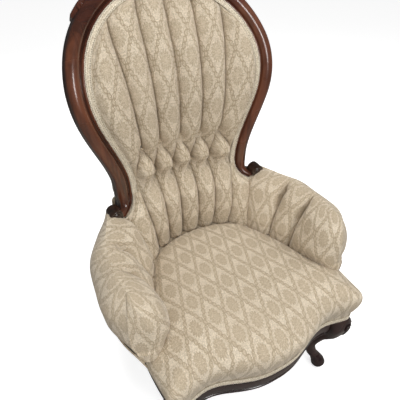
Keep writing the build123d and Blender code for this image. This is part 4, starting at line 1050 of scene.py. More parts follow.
def damask_cloth(name, shine, drawn, toned):
    """Cream and tan damask: how far its pale, its dark and its tan threads stand out."""
    material, tree, shader = new_material(name)
    where = wire(tree, "ShaderNodeUVMap", uv_map="weave")
    figure = use_group(tree, damask_figure, {"Place": where})
    threads = use_group(tree, plain_weave, {"Place": where, "Threads": 1100.0})
    trail = ramp(abs(noise(where, 95.0, 2.5, 0.6) - 0.5), 0.012, 0.04, drawn * 0.6, 0.0)
    colour = CREAM
    for share, tone in ((figure["Figure"] * toned, TAN), (figure["Band"] * (toned * 0.7), TAN),
                        (figure["Outline"] * shine, PALE), (figure["Dark"] * drawn, DEEP_TAN),
                        (trail, DEEP_TAN)):
        colour = blended(share, colour, tone)
    for scale, low, high in ((560.0, 0.76, 1.22), (260.0, 0.85, 1.14)):
        speck = noise(where, scale, 2.0, 0.7)
        mottle = ramp(speck, 0.34, 0.66, low, high)
        grey = wire(tree, "ShaderNodeCombineColor", {0: mottle, 1: mottle, 2: mottle})
        colour = blended(1.0, colour, grey, "MULTIPLY")
    faded = ramp(noise(object_place(tree), 5.0), 0.3, 0.7, 0.0, 0.22)
    height = figure["Height"] * 0.55 + threads["Height"] * 0.3 + speck * 0.35
    feed(shader, {"Base Color": blended(faded, colour, FADED), "Normal": bump(height, 0.55, 0.0009),
                  "Roughness": ramp(figure["Ground"], 0.0, 1.0, 0.86, 0.68),
                  "Sheen Weight": 0.2, "Sheen Roughness": 0.5})
    return material


damask = damask_cloth("cream_damask", 0.62, 0.62, 0.72)


def lagrange(first, second, third, t):
    """Point on the curve through three others, at 0, a half and 1."""
    a, b, c = 2 * (t - 0.5) * (t - 1), -4 * t * (t - 1), 2 * t * (t - 0.5)
    return tuple(a * p + b * q + c * r for p, q, r in zip(first, second, third))


def through(points, t):
    """Smooth curve through all the points, with t counting along them."""
    last = len(points) - 1
    i = min(int(t), last - 1)
    s = t - i
    p0, p1, p2, p3 = (points[max(0, min(last, k))] for k in (i - 1, i, i + 1, i + 2))
    return tuple(0.5 * (2 * b + (c - a) * s + (2 * a - 5 * b + 4 * c - d) * s * s
                        + (3 * b - a - 3 * c + d) * s ** 3)
                 for a, b, c, d in zip(p0, p1, p2, p3))


def front_plan(grow):
    """Half of the seat's front in plan, from the middle round the corner, and its last point."""
    points = []
    for i in range(54):
        x = CORNER_HALF_WIDTH * i / 54
        points.append((x + grow * 0.6 * (x / CORNER_HALF_WIDTH) ** 2, front_edge(x) - grow))
    tip = (CORNER_HALF_WIDTH + grow * 0.6, front_edge(CORNER_HALF_WIDTH) - grow)
    turn = (SIDE_HALF_WIDTH + grow - 5, -CORNER_REACH + 5 - grow * 0.8)
    end = (SIDE_HALF_WIDTH + grow, -CORNER_REACH + 18 - grow * 0.4)
    return points + [lagrange(tip, turn, end, i / 10) for i in range(10)], end


# plan of the seat from the arms' fronts to the rear, below the arm pads and above them
under_arms = [(270, ARM_SHOULDER + 14), (250, -90), (226, 30), (176, 150), (90, 214), (0, 218)]
over_arms = [(272, ARM_SHOULDER + 14), (241, -130), (206, -25), (147, 88), (76, 128), (0, 139)]


def seat_outline(grow, between):
    """Right half of the seat's level outline, from the middle of the front to the rear."""
    waist = [mix(under, over, between) for under, over in zip(under_arms, over_arms)]
    points, end = front_plan(grow)
    side = (SIDE_HALF_WIDTH + grow * 1.7, ARM_SHOULDER + 12)
    points += [mix(end, side, i / 14) for i in range(14)]
    points += [mix(side, waist[0], i / 5) for i in range(5)]
    return points + [through(waist, i / 10) for i in range(51)]


# height, how far the padding stands out, scale towards the middle
seat_levels = [(268.3, -2.8, 1.0), (283.0, -2.8, 1.0), (291.0, -1.6, 1.0), (303.0, 3.0, 1.0),
               (320.0, 8.4, 1.0), (337.0, 11.8, 1.0), (351.0, 12.0, 1.0), (364.0, 8.6, 1.0),
               (374.0, 2.6, 0.995), (385.0, -4.0, 0.965), (394.0, -8.0, 0.90), (400.5, -10.0, 0.80),
               (405.5, -10.0, 0.66), (408.6, -10.0, 0.48), (410.0, -10.0, 0.28), (410.6, -10.0, 0.10),
               (410.7, -10.0, 0.005)]


def seat_part():
    rings, weave = [], []
    spread = FIGURE_ACROSS[0] * FIGURE_DEEP[1] - FIGURE_ACROSS[1] * FIGURE_DEEP[0]
    steps = 88
    for i in range(steps + 1):
        z, grow, scale = through(seat_levels, (len(seat_levels) - 1) * i / steps)
        half = seat_outline(grow, clamped((z - 364.0) / 8.0))
        drop = max(0.0, SEAT_EDGE - z)
        ring = []
        for x, y in half + [(-x, y) for x, y in reversed(half[1:-1])]:
            x, y = x * scale, SEAT_MIDDLE + (y - SEAT_MIDDLE) * scale
            ring.append((x, y, z))
            front = y < ARM_SHOULDER and abs(x) < CORNER_HALF_WIDTH
            u, v = (x, y - drop) if front else (x + math.copysign(drop, x), y)
            u, v = u - FIGURE_MIDDLE[0], v - FIGURE_MIDDLE[1]
            weave.append(((u * FIGURE_DEEP[1] - v * FIGURE_DEEP[0]) / spread * REPEAT_ACROSS,
                          (v * FIGURE_ACROSS[0] - u * FIGURE_ACROSS[1]) / spread * REPEAT_DEEP))
        rings.append(ring)
    return loft(rings), weave


seat_shape, seat_weave = seat_part()
seat = make_piece("sprung_seat", seat_shape, damask, 70.0, seat_weave)
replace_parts(seat, "seat_cushion")

# ---------------------------------------------------------------- channelled back
# The stuffed back is pleated into channels that fan out from a row of tufts, with a
# row of diamonds between that and a second row, and more channels down to the seat.
ARM_BASE = 372.0
UPPER_TUFT_HEIGHT = 672.0
LOWER_TUFT_HEIGHT = 590.0
FAN_HEIGHT = 1020.0
PIPE_RISE = 26.0
PIPE_SQUARENESS = 2.1
PLEAT = 2.0
SEAM_BEND = 2.1
BULB_RISE = 20.0
ROW_DIP = 9.0
TUFT_PULL = 20.0
TUFT_RADIUS = 15.0
WIDE_BULB = 45.0
ROW_REACH = 17.0
CREASE_DEPTH = 3.0
PAD_GAP = 0.6
LIP_SET_BACK = 4.0
EDGE_ROLL = 19.0
CHANNEL_COLUMNS = 13
GIMP_WIDTH = 13.0
# the upright back has its own copy of the damask with less tan and pale in its figure: painted light, for
# the sheen of the threads on the upright cloth
back_damask = damask_cloth("cream_damask_upright", 0.42, 0.85, 0.42)
upper_tufts = (0.0, 64.0, 122.0)
lower_tufts = (29.0, 89.0, 155.0)
fan_tops = (0.0, 76.0, 156.0)
seat_divides = (28.0, 77.0, 124.0)
edge_forward = [(ARM_BASE, 100.0), (440.0, 74.0), (505.0, 42.0), (545.0, 12.0),
                (WAIST_HEIGHT, 2.0), (BALLOON_CROWN, 2.0)]
divide_heights = (ARM_BASE, 440.0, 505.0, LOWER_TUFT_HEIGHT, UPPER_TUFT_HEIGHT, 740.0, 860.0, 980.0,
                  1080.0)
divide_forward = [list(zip(divide_heights, depths)) for depths in (
    (26.0, 31.0, 25.0, -18.0, -26.0, -25.0, -23.0, -12.0, -6.0),
    (37.0, 44.0, 36.0, -12.0, -24.0, -22.0, -22.0, -11.0, -6.0),
    (58.0, 61.0, 40.0, 6.0, -12.0, -10.0, -14.0, -8.0, -5.0))]
curl_bottom = curl_eye[1] - CURL_RADIUS
arm_seam = [(ARM_BASE, 177.0), (ARM_BASE + 68, 193.0), (curl_bottom - 2.1, 208.0),
            (curl_bottom + 10, round_curl(232.0)[0] - 1.0),
            (curl_bottom + 25, round_curl(205.0)[0] - 1.0), (WAIST_END, WAIST_HALF_WIDTH - PAD_GAP)]


def pad_edge(height):
    """Half width of the back pad, following the frame and then the seam with the arm."""
    if height >= BALLOON_WIDEST:
        share = min(1.0, (height - BALLOON_WIDEST) / BALLOON_RISE)
        return BALLOON_HALF_WIDTH * math.sqrt(1 - share * share) - PAD_GAP
    if height >= WAIST_HEIGHT:
        return down_to_waist(height)[0][0] - PAD_GAP
    return WAIST_HALF_WIDTH - PAD_GAP if height >= WAIST_END else flowing(arm_seam, height)


def rows_passed(height):
    """Where a height lies between the rows of tufts: 0 at the lower, 1 at the upper."""
    return (height - LOWER_TUFT_HEIGHT) / (UPPER_TUFT_HEIGHT - LOWER_TUFT_HEIGHT)


def divide_x(upper, lower, height):
    """Where a seam lies that leaves an upper tuft and runs into a lower one."""
    tuft, top = upper_tufts[upper], fan_tops[upper]
    above = flowing([(UPPER_TUFT_HEIGHT, tuft),
                     ((UPPER_TUFT_HEIGHT + FAN_HEIGHT) / 2, (tuft + top) / 2 + 1.5),
                     (FAN_HEIGHT, top), (1100.0, top * 1.7 - tuft)], height)
    foot, tuft = seat_divides[lower], lower_tufts[lower]
    below = flowing([(ARM_BASE, foot), (500.0, (foot + tuft) / 2 + 1.5), (LOWER_TUFT_HEIGHT, tuft)],
                    height)
    return below + (above - below) * clamped(rows_passed(height)) ** SEAM_BEND


def seams_at(height):
    """Seams of the right half from the edge inwards, as (x, forward)."""
    limit = pad_edge(height) - 12.0
    share = clamped(rows_passed(height))
    found = []
    for upper, lower, above, below in ((2, 2, 0.5, 0.0), (2, 1, -0.5, 0.5), (1, 1, 0.5, -0.5),
                                       (1, 0, -0.5, 0.5), (0, 0, 0.5, -0.5)):
        side = below + (above - below) * share ** SEAM_BEND
        x = min(divide_x(upper, lower, height) + PLEAT * side, limit)
        depths = [flowing(divide_forward[row], height) for row in (lower, upper)]
        found.append((x, depths[0] * (1 - share) + depths[1] * share))
        limit = x - PLEAT * 0.9 if limit > 4 else limit * 0.8
    return found


def edge_distance(x, height):
    """How far a place lies inside the balloon's opening."""
    if height > BALLOON_WIDEST:
        share = math.hypot(x / BALLOON_HALF_WIDTH, (height - BALLOON_WIDEST) / BALLOON_RISE)
        return max(0.0, (1 - share) * BALLOON_RISE)
    return max(0.0, pad_edge(height) - abs(x))


# across, height, and the depth of the seam that each tuft ties down
tufts = [(side * x, height, flowing(table, height))
         for height, row in ((UPPER_TUFT_HEIGHT, upper_tufts), (LOWER_TUFT_HEIGHT, lower_tufts))
         for x, table in zip(row, divide_forward) for side in ((1, -1) if x else (1,))]


def tuft_pull(x, height):
    """How strongly the nearest tuft draws the cover in, from 0 to 1."""
    nearest = min(((x - tx) ** 2 + ((height - th) * 0.85) ** 2) / TUFT_RADIUS ** 2
                  for tx, th, depth in tufts)
    return math.exp(-nearest) if nearest < 9 else 0.0


def walked(points):
    """Distance along a path at each of its points."""
    lengths = [0.0]
    for before, after in zip(points, points[1:]):
        lengths.append(lengths[-1] + math.dist(before, after))
    return lengths


def channel_points(height):
    """Front of the back pad across one height: x, forward, cloth coordinate."""
    lip = flowing(edge_forward, height)
    seams = [(pad_edge(height), lip)] + seams_at(height)
    seams += [(-x, forward) for x, forward in reversed(seams)]
    passed = rows_passed(height)
    swell = math.exp(-((passed - 0.48) / 0.42) ** 2)
    level = math.exp(-((passed - 0.5) / 0.5) ** 2)
    points = []
    count = len(seams) - 1
    for c in range(count):
        width = abs(seams[c][0] - seams[c + 1][0])
        rise = min(PIPE_RISE, 0.46 * width) * min(1.0, width / 12.0)
        if c % 2:
            rise += BULB_RISE * swell * min(1.0, width / WIDE_BULB)
        elif passed > 0:
            rise *= 0.55 + 0.45 * clamped(passed)
        channel = []
        for k in range(CHANNEL_COLUMNS + (1 if c == count - 1 else 0)):
            t = (1 - math.cos(math.pi * k / CHANNEL_COLUMNS)) / 2
            x, forward = mix(seams[c], seams[c + 1], t)
            lift = rise * max(0.0, 1 - abs(2 * t - 1) ** PIPE_SQUARENESS) ** 0.52 - CREASE_DEPTH
            bare = GIMP_WIDTH if height > WAIST_END else 0.0
            near_edge = min(1.0, max(0.0, edge_distance(x, height) - bare) / EDGE_ROLL)
            if height > WAIST_END:
                start = lip - LIP_SET_BACK
                forward = start + (forward + lift - start) * near_edge * (2 - near_edge)
                if c in (0, count - 1):
                    forward += 6.0 * math.sin(math.pi * min(1.0, near_edge * 0.9))
            else:
                forward += lift
            flank = 0.45 + 0.55 * abs(2 * t - 1)
            for row_height, dip in ((UPPER_TUFT_HEIGHT - 2, ROW_DIP * 0.4),
                                    (LOWER_TUFT_HEIGHT, ROW_DIP * 0.8)):
                near_row = math.exp(-((height - row_height) / ROW_REACH) ** 2)
                forward -= dip * flank * near_edge ** 2 * near_row
            forward -= tuft_pull(x, height) * near_edge * (TUFT_PULL + 0.5 * max(0.0, lift))
            channel.append((x, forward))
        lengths = walked(channel)
        for (x, forward), length in zip(channel, lengths):
            along = ((count - 1) / 2 - c) * REPEAT_ACROSS / 2 - (length - lengths[-1] / 2)
            points.append((x, forward, along * (1 - level) + x * level))
    return points


def back_part():
    low, high = ARM_BASE + 0.6, BALLOON_WIDEST
    heights = [low + (high - low) * i / 150 for i in range(150)]
    heights += [high + (BALLOON_RISE - 2.5) * math.sin(math.pi / 2 * i / 74) for i in range(75)]
    rings, weave = [], []
    rear = -FRAME_DEPTH + 0.2
    shelf = POST_THICKNESS - FRAME_DEPTH + 0.6
    for height in heights:
        front = channel_points(height)
        edge = pad_edge(height)
        inset = min(POST_INNER - 2, edge - 1)
        behind = [(-edge, shelf), (-inset, shelf), (-inset, rear), (inset, rear), (inset, shelf),
                  (edge, shelf)]
        rings.append([on_back(x, max(forward, rear + 1.5), height) for x, forward, cloth in front]
                     + [on_back(x, forward, height) for x, forward in behind])
        weave += [(cloth, height + 4.0) for x, forward, cloth in front]
        weave += [(x, height + 4.0) for x, forward in behind]
    return loft(rings), weave


back_shape, back_weave_marks = back_part()
back = make_piece("channelled_back", back_shape, back_damask, 85.0, back_weave_marks)
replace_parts(back, "back_pad")

# ---------------------------------------------------------------- padded arms
# Each arm is a low roll stuffed over a beech rail and stump. Two deep pleats run
# from the seat up to a tuft, and the front swells into a broad rounded end.
ARM_LIP = 406.0
ARM_TOP = 533.0
ARM_HALF_WIDTH = 361.0
ARM_FLARE = 33.0
POST_OUTER = POST_INNER + POST_WIDTH
ARM_TUFT_RADIUS = 16.0
ARM_TUFT_REACH = 38.0
ARM_TUFT_PULL = 33.0
ARM_RIDGE = 3.0
arm_tufts = [((263, 41, 505), (-0.62, -0.12, 0.77)), ((286, -51, 497), (-0.62, -0.12, 0.77))]
# how far each arm's front swells: the two were stuffed by hand and differ
ARM_SIDES = (("right", lambda part: part, 22.0), ("left", flipped, 44.0))


def arm_side(z, inset, flare):
    """Plan of the arm's outer side under its roll: front, middle and rear points."""
    above_braid = RAIL_TOP + GIMP_WIDTH + 1
    share = max(0.0, (z - above_braid) / (ARM_LIP - above_braid))
    drawn_in = inset + 2.8
    front, middle, rear = ARM_SHOULDER + 1, -30.0, REAR_HEAD_FRONT
    return [(side_x(front, drawn_in) + flare * share, front + 12 * share),
            (side_x(middle, drawn_in) + 61 * share, middle),
            (side_x(rear, drawn_in) + 26 * share, rear)]


def arm_levels(flare):
    """Plan points of the right arm at rising heights, with the swell of its pleats."""
    front = ARM_SHOULDER + 4
    nose = flare - ARM_FLARE
    wide = ARM_HALF_WIDTH
    tight = POST_OUTER + 2
    end = BACK_PLANE - 0.3
    levels = []
    for z, inner, rise in (
            (ARM_BASE + 0.3, [(172, 88), (209, 12), (232, -58), (270, front + 1)], 15),
            (ARM_LIP - 6, [(177, 97), (218, 15), (240, -57), (268, front - 1)], 20)):
        side = arm_side(z, 4.6, flare)
        outer = [side[0]] + [lagrange(*side, share) for share in (0.3, 0.5, 0.75)] + [side[2]]
        levels.append((z, inner + outer + [(tight + 4, end - 18), (tight, 198)], rise))
    # seam, rear pleat, front pleat, nose inside and outside, four places round the outer
    # side, then the corner behind the post and the post itself
    return levels + [
        (ARM_LIP + 3, [(179, 99), (220, 16), (242, -58), (264, front + 1), (316 + nose, front + 17),
                       (wide - 8 + nose * 0.4, -105), (wide - 9, -20), (wide - 21, 60), (tight + 82, 150),
                       (tight + 22, end), (tight, end)], 23),
        (432, [(186, 109), (232, 22), (252, -56), (256, front + 2), (328 + nose * 0.7, front + 22),
               (wide - 1, -108), (wide - 3, -20), (wide - 15, 60), (tight + 84, 154),
               (tight + 28, end), (tight, end)], 27),
        (470, [(197, 128), (250, 31), (272, -53), (263, front + 5), (332 + nose * 0.15, front + 36),
               (wide + 3, -108), (wide - 2, -20), (wide - 15, 58), (tight + 82, 150),
               (tight + 30, end - 3), (tight, end)], 29),
        (ARM_TOP - 33, [(207, 143), (262, 39), (286, -53), (273, front + 20), (326, front + 50),
                        (wide - 8, -108), (wide - 11, -20), (wide - 21, 52), (tight + 76, 134),
                        (tight + 32, end - 22), (tight, end - 8)], 27),
        (ARM_TOP - 12, [(228, 143), (276, 42), (297, -50), (288, front + 42), (316, front + 64),
                        (wide - 25, -104), (wide - 27, -22), (wide - 33, 44), (tight + 68, 120),
                        (tight + 40, end - 44), (tight + 20, 190)], 19),
        (ARM_TOP - 1, [(244, 138), (289, 44), (304, -48), (299, front + 68), (308, front + 76),
                       (wide - 42, -98), (wide - 42, -24), (wide - 48, 40), (tight + 60, 108),
                       (tight + 44, 156), (tight + 32, 164)], 9)]


def arm_curve(points, rise):
    """Closed plan of the arm through its key points, with a crease at each pleat."""
    seam, fold_rear, fold_front, nose_in, nose_out = points[:5]
    tail, haunch, tuck = points[8:]

    def inward(first, second, amount, t):
        long = math.dist(first, second)
        reach = min(amount, 0.4 * long) / long
        x, y = mix(first, second, t)
        return (x + (second[1] - first[1]) * reach, y - (second[0] - first[0]) * reach)

    plan = []
    for first, second in ((seam, fold_rear), (fold_rear, fold_front)):
        for k in range(18):
            t = (1 - math.cos(math.pi * k / 18)) / 2
            plan.append(inward(first, second, rise * max(0.0, 1 - abs(2 * t - 1) ** 2.6) ** 0.6, t))
    swell = [fold_front]
    swell += [inward(fold_front, nose_in, rise * much, t)
              for much, t in ((0.95, 0.12), (1.3, 0.5), (0.8, 0.86))]
    swell += [inward(nose_in, nose_out, much, t) for much, t in ((5.5, 0.15), (10, 0.5), (6.0, 0.88))]
    swell += [nose_out] + points[5:9]
    count = 96
    plan += [through(swell, (len(swell) - 1) * k / count) for k in range(count)]
    for first, second, steps in ((tail, haunch, 4), (haunch, tuck, 3), (tuck, seam, 8)):
        plan += [mix(first, second, k / steps) for k in range(steps)]
    return plan


def sewn_ridge(ring, start):
    """Faces that close a ring whose two sides lie along one line, from the nose back."""
    count = len(ring)
    nose = min(range(count), key=lambda k: ring[k][1])
    inner, outer, faces = nose, nose, []
    while inner > 0 or outer < count:
        inner_y = ring[inner - 1][1] if inner > 0 else 1e9
        outer_y = ring[(outer + 1) % count][1] if outer < count else 1e9
        if inner_y <= outer_y:
            corners, inner = (inner, outer % count, inner - 1), inner - 1
        else:
            corners, outer = (inner, outer % count, (outer + 1) % count), outer + 1
        if len(set(corners)) == 3:
            faces.append(tuple(start + corner for corner in corners))
    return faces


def pulled_in(point):
    """A point of the arm's cover, drawn in where a tuft and the pleat below it are near."""
    spot = Vector(point)
    down_pleat = Vector((-0.42, -0.14, -0.9))
    for middle, way in arm_tufts:
        away = spot - Vector(middle)
        down = away.dot(down_pleat)
        aside = max(0.0, away.length_squared - down * down)
        reach = ARM_TUFT_REACH if down > 0 else ARM_TUFT_RADIUS
        pull = math.exp(-(down / reach) ** 2 - aside / ARM_TUFT_RADIUS ** 2)
        spot -= Vector(way).normalized() * ARM_TUFT_PULL * pull
    return tuple(spot)


def arm_part(flare):
    levels = arm_levels(flare)
    last = len(levels) - 1
    rings, weave, steps = [], [], 84
    heights = [(k, level[0]) for k, level in enumerate(levels)]
    swells = [(k, level[2]) for k, level in enumerate(levels)]
    tables = [[[(k, level[1][p][axis]) for k, level in enumerate(levels)] for axis in (0, 1)]
              for p in range(11)]
    for i in range(steps + 1):
        t = last * i / steps
        plan = arm_curve([(flowing(x, t), flowing(y, t)) for x, y in tables], flowing(swells, t))
        rings.append([pulled_in((x, y, flowing(heights, t))) for x, y in plan])
    # the cover closes along a bowed ridge on top of the roll
    rear, crown, fore = (262.0, 142.0), (306.0, 6.0), (306.0, -128.0)
    for share in (0.2, 0.4, 0.6, 0.8, 1.0):
        ring = []
        for x, y, z in rings[steps]:
            ridge = lagrange(rear, crown, fore, clamped((rear[1] - y) / (rear[1] - fore[1])))
            ring.append((*mix((x, y), ridge, share), z + ARM_RIDGE * math.sin(math.pi / 2 * share)))
        rings.append(ring)
    # one cloth coordinate for each column, so that the figure runs straight up the arm
    lengths = walked(rings[steps * 4 // last])
    climbs = [0.0] * len(lengths)
    for i, ring in enumerate(rings):
        if i:
            climbs = [climb + math.dist(*ends) for climb, *ends in zip(climbs, ring, rings[i - 1])]
        weave += [(length, climb + 20.0) for length, climb in zip(lengths, climbs)]
    points, faces = loft(rings, capped=False)
    faces.append(tuple(range(len(lengths) - 1, -1, -1)))
    return (points, faces + sewn_ridge(rings[-1], (len(rings) - 1) * len(lengths))), weave


for name, turned, flare in ARM_SIDES:
    arm_shape, arm_weave = arm_part(flare)
    arm = make_piece(name + "_padded_arm", turned(arm_shape), damask, 80.0, arm_weave)
    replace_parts(arm, name + "_arm_pad")

# ---------------------------------------------------------------- outside covers
# The outside of each arm and the back are plain panels of the same damask, drawn
# tight over the frame, and black cambric closes the underside of the seat.
CAMBRIC_THICKNESS = 1.4
CAMBRIC_LOW = RAIL_UNDERSIDE - 2 * WEB_THICKNESS - 1.8
CAMBRIC_INSET = 14.0
cambric = plain_cloth("black_cambric", (0.035, 0.033, 0.033), (0.012, 0.011, 0.011), 1400.0, 0.0003)


def arm_panel_part(flare):
    rings, weave = [], []
    at_post = (POST_OUTER + 0.3, BACK_PLANE - 0.3)
    for i in range(31):
        z = RAIL_TOP + 0.3 + (ARM_LIP - 3.0 - RAIL_TOP) * i / 30
        out, inner = ([lagrange(*arm_side(z, inset, flare), k / 44) for k in range(45)]
                      for inset in (0, 3.8))
        out.append((at_post[0] + 4, at_post[1]))
        rings.append([(x, y, z) for x, y in out + [at_post] + inner[::-1]])
        marks = [(length, z) for length in walked(out)]
        weave += marks + marks[::-1]
    return loft(rings), weave


for name, turned, flare in ARM_SIDES:
    panel_shape, panel_weave = arm_panel_part(flare)
    panel = make_piece(name + "_outside_arm", turned(panel_shape), damask, 40.0, panel_weave)
    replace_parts(panel, name + "_outside_arm_panel")

outside_back = curved_sheet("outside_back", damask, "outside_back_panel",
                            low=RAIL_UNDERSIDE + 4, rows=80, columns=60, margin=33.0,
                            skirt=REAR_HEAD_OUTER - 4, hip=535.0, behind=FRAME_DEPTH + 4.1, thick=2.3)


def cambric_part():
    """Level cambric under the seat, cut back round the legs: the middle, then front and rear."""
    front_keep, rear_keep = -FRONT_LEG_REAR + 6, REAR_HEAD_FRONT - 6
    pieces = [[], [], []]
    for i in range(61):
        y = front_keep + (rear_keep - front_keep) * i / 60
        reach = side_x(y, CAMBRIC_INSET)
        pieces[0].append([(reach * (k / 15 - 1), y) for k in range(31)])
    for k in range(49):
        x = (FRONT_LEG_INNER - 6) * (k / 24 - 1)
        front = front_edge(x) + CAMBRIC_INSET
        pieces[1].append([(x, front + (front_keep + 1 - front) * j / 6) for j in range(7)])
    for k in range(31):
        x = (POST_INNER - 6) * (k / 15 - 1)
        pieces[2].append([(x, rear_keep - 1), (x, BACK_PLANE - CAMBRIC_INSET)])
    parts, weave = [], []
    for rows in pieces:
        rings = [[(x, y, CAMBRIC_LOW + CAMBRIC_THICKNESS) for x, y in row]
                 + [(x, y, CAMBRIC_LOW) for x, y in reversed(row)] for row in rows]
        parts.append(loft(rings))
        weave += [(x, y) for ring in rings for x, y, z in ring]
    return joined(*parts), weave


cambric_shape, cambric_weave = cambric_part()
dust = make_piece("cambric_dust_cover", cambric_shape, cambric, 40.0, cambric_weave)
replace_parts(dust, "dust_cover")

# ---------------------------------------------------------------- covered buttons
# Every tuft is tied down through the back with twine, under a small round button
# that is covered in a scrap of the damask.
BUTTON_RADIUS = 6.5
BUTTON_SCRAP = (40, 52)
BACK_BUTTON_DEPTH = 13.0
ARM_BUTTON_DEPTH = 27.0
# share of the button's radius, height over its back
button_shape = [(0.35, 0.0), (0.85, 0.25), (1.0, 0.8), (1.0, 1.6), (0.93, 2.6), (0.78, 3.5),
                (0.55, 4.2), (0.28, 4.7), (0.04, 4.9)]


def buttons(name, spots, replaced):
    """Low domes over a rounded rim, from the middle of each one's back and the way it faces."""
    parts = []
    for middle, direction in spots:
        way = Vector(direction).normalized()
        side = way.orthogonal().normalized()
        top = way.cross(side)
        parts.append(loft([[tuple(Vector(middle) + way * up + (side * a + top * b) * radius * BUTTON_RADIUS)
                            for a, b in circle(20)] for radius, up in button_shape]))
    marks = [(BUTTON_SCRAP[0] + radius * 6 * a, BUTTON_SCRAP[1] + radius * 6 * b)
             for radius, up in button_shape for a, b in circle(20)]
    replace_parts(make_piece(name, joined(*parts), damask, 60.0, marks * len(spots)), replaced)


back_spots = [(on_back(x, depth - BACK_BUTTON_DEPTH, height), (0, -1, 0)) for x, height, depth in tufts]
buttons("covered_back_buttons", back_spots, "back_buttons")
arm_spots = []
for spot, way in arm_tufts:
    direction = Vector(way).normalized()
    middle = Vector(spot) - direction * ARM_BUTTON_DEPTH
    arm_spots += [((side * middle.x, middle.y, middle.z), (side * direction.x, direction.y, direction.z))
                  for side in (1, -1)]
buttons("covered_arm_buttons", arm_spots, "arm_buttons")

# ---------------------------------------------------------------- braid
# A woven gimp braid hides the tacked edges inside the balloon, out under the knobs and
# along the seat rails. It is a flat band of cords with small loops along each edge.
BRAID_LOOP = 5.4
BRAID_CORD = 0.9
BRAID_INSET = 6.6
LOOP_OFFSET = 4.8


def braid_stuff(name, dark, light):
    """Cotton cord, flecked with the light and dark threads it is twisted from."""
    material, tree, shader = new_material(name)
    fleck = noise(object_place(tree), 330.0, 3.0)
    feed(shader, {"Base Color": blended(ramp(fleck, 0.35, 0.65), dark, light),
                  "Normal": bump(fleck, 0.7, 0.0008), "Roughness": 0.85, "Sheen Weight": 0.2})
    return material


braid_cloth = braid_stuff("cream_braid", (0.60, 0.52, 0.39), (0.86, 0.79, 0.65))
braid_ground = braid_stuff("tan_braid_ground", (0.38, 0.31, 0.21), (0.76, 0.68, 0.54))


def braid_tree_for_loops():
    """Geometry nodes: a small cord loop on every point of a path, facing off the cloth."""
    tree, given, result = new_group(
        "braid_loops",
        [("Path", "Geometry", None), ("Loop Size", "Float", 0.0018), ("Cord Size", "Float", 0.0006),
         ("Flatness", "Float", 0.7), ("Seed", "Int", 7), ("Cloth", "Material", None)],
        [("Loops", "Geometry")], "GeometryNodeTree")
    ring, cord = (wire(tree, "GeometryNodeCurvePrimitiveCircle", {"Resolution": sides, "Radius": size})
                  for sides, size in ((9, given["Loop Size"]), (5, given["Cord Size"])))
    loop = wire(tree, "GeometryNodeCurveToMesh", {"Curve": ring, "Profile Curve": cord})
    off_cloth, along = (wire(tree, "GeometryNodeInputNamedAttribute", {"Name": title},
                             data_type="FLOAT_VECTOR") for title in ("off_cloth", "along"))
    stood = wire(tree, "FunctionNodeAlignEulerToVector", {"Vector": off_cloth}, axis="Z")
    turned = wire(tree, "FunctionNodeAlignEulerToVector", {"Rotation": stood, "Vector": along},
                  axis="X", pivot_axis="Z")
    size = wire(tree, "FunctionNodeRandomValue", {2: 0.9, 3: 1.12, "Seed": given["Seed"]}, 1,
                data_type="FLOAT")
    shape = wire(tree, "ShaderNodeCombineXYZ", {0: size, 1: size, 2: given["Flatness"]})
    spots = wire(tree, "GeometryNodeMeshToPoints", {"Mesh": given["Path"]})
    placed = wire(tree, "GeometryNodeInstanceOnPoints",
                  {"Points": spots, "Instance": loop, "Rotation": turned, "Scale": shape})
    real = wire(tree, "GeometryNodeRealizeInstances", {0: placed})
    feed(result, {0: wire(tree, "GeometryNodeSetMaterial",
                          {"Geometry": real, "Material": given["Cloth"]})})
    return tree


loop_tree = braid_tree_for_loops()


def evenly(path):
    """Points along a path at the pitch of the loops, each with its direction and its facing."""
    lengths = [0.0]
    for before, after in zip(path, path[1:]):
        lengths.append(lengths[-1] + (after[0] - before[0]).length)
    count = max(2, int(lengths[-1] / BRAID_LOOP))
    found, i = [], 0
    for n in range(count + 1):
        at = lengths[-1] * n / count
        while i < len(lengths) - 2 and lengths[i + 1] < at:
            i += 1
        t = (at - lengths[i]) / max(1e-9, lengths[i + 1] - lengths[i])
        (spot, facing), (next_spot, next_facing) = path[i:i + 2]
        found.append((spot.lerp(next_spot, t), (next_spot - spot).normalized(),
                      facing.lerp(next_facing, t).normalized()))
    return found


def braid_loops(name, rows):
    """Loops along several rows of points, made by the node tree and kept as a mesh."""
    spots = [spot for row in rows for spot in row]
    mesh = bpy.data.meshes.new(name + "_path")
    mesh.from_pydata([place(*spot) for spot, along, facing in spots], [], [])
    for title, index in (("along", 1), ("off_cloth", 2)):
        layer = mesh.attributes.new(title, "FLOAT_VECTOR", "POINT")
        layer.data.foreach_set("vector", [value for spot in spots for value in spot[index]])
    holder = bpy.data.objects.new(name + "_path", mesh)
    bpy.context.scene.collection.objects.link(holder)
    modifier = holder.modifiers.new("loops", "NODES")
    modifier.node_group = loop_tree
    values = {"Cloth": braid_cloth, "Loop Size": BRAID_LOOP * MM / 2, "Cord Size": BRAID_CORD * MM}
    for item in loop_tree.interface.items_tree:
        if item.in_out == "INPUT" and item.name in values:
            modifier[item.identifier] = values[item.name]
    result = bpy.data.meshes.new_from_object(holder.evaluated_get(
        bpy.context.evaluated_depsgraph_get()))
    bpy.data.objects.remove(holder)
    result.name = name
    result.shade_smooth()
    enrolled(name, result)


def braid_frames(path):
    """Each point of a braid's middle line, with the way across the braid and its facing."""
    frames = []
    for k, (spot, facing) in enumerate(path):
        ahead = path[min(k + 1, len(path) - 1)][0] - path[max(k - 1, 0)][0]
        frames.append((spot, facing.cross(ahead.normalized()).normalized(), facing))
    return frames


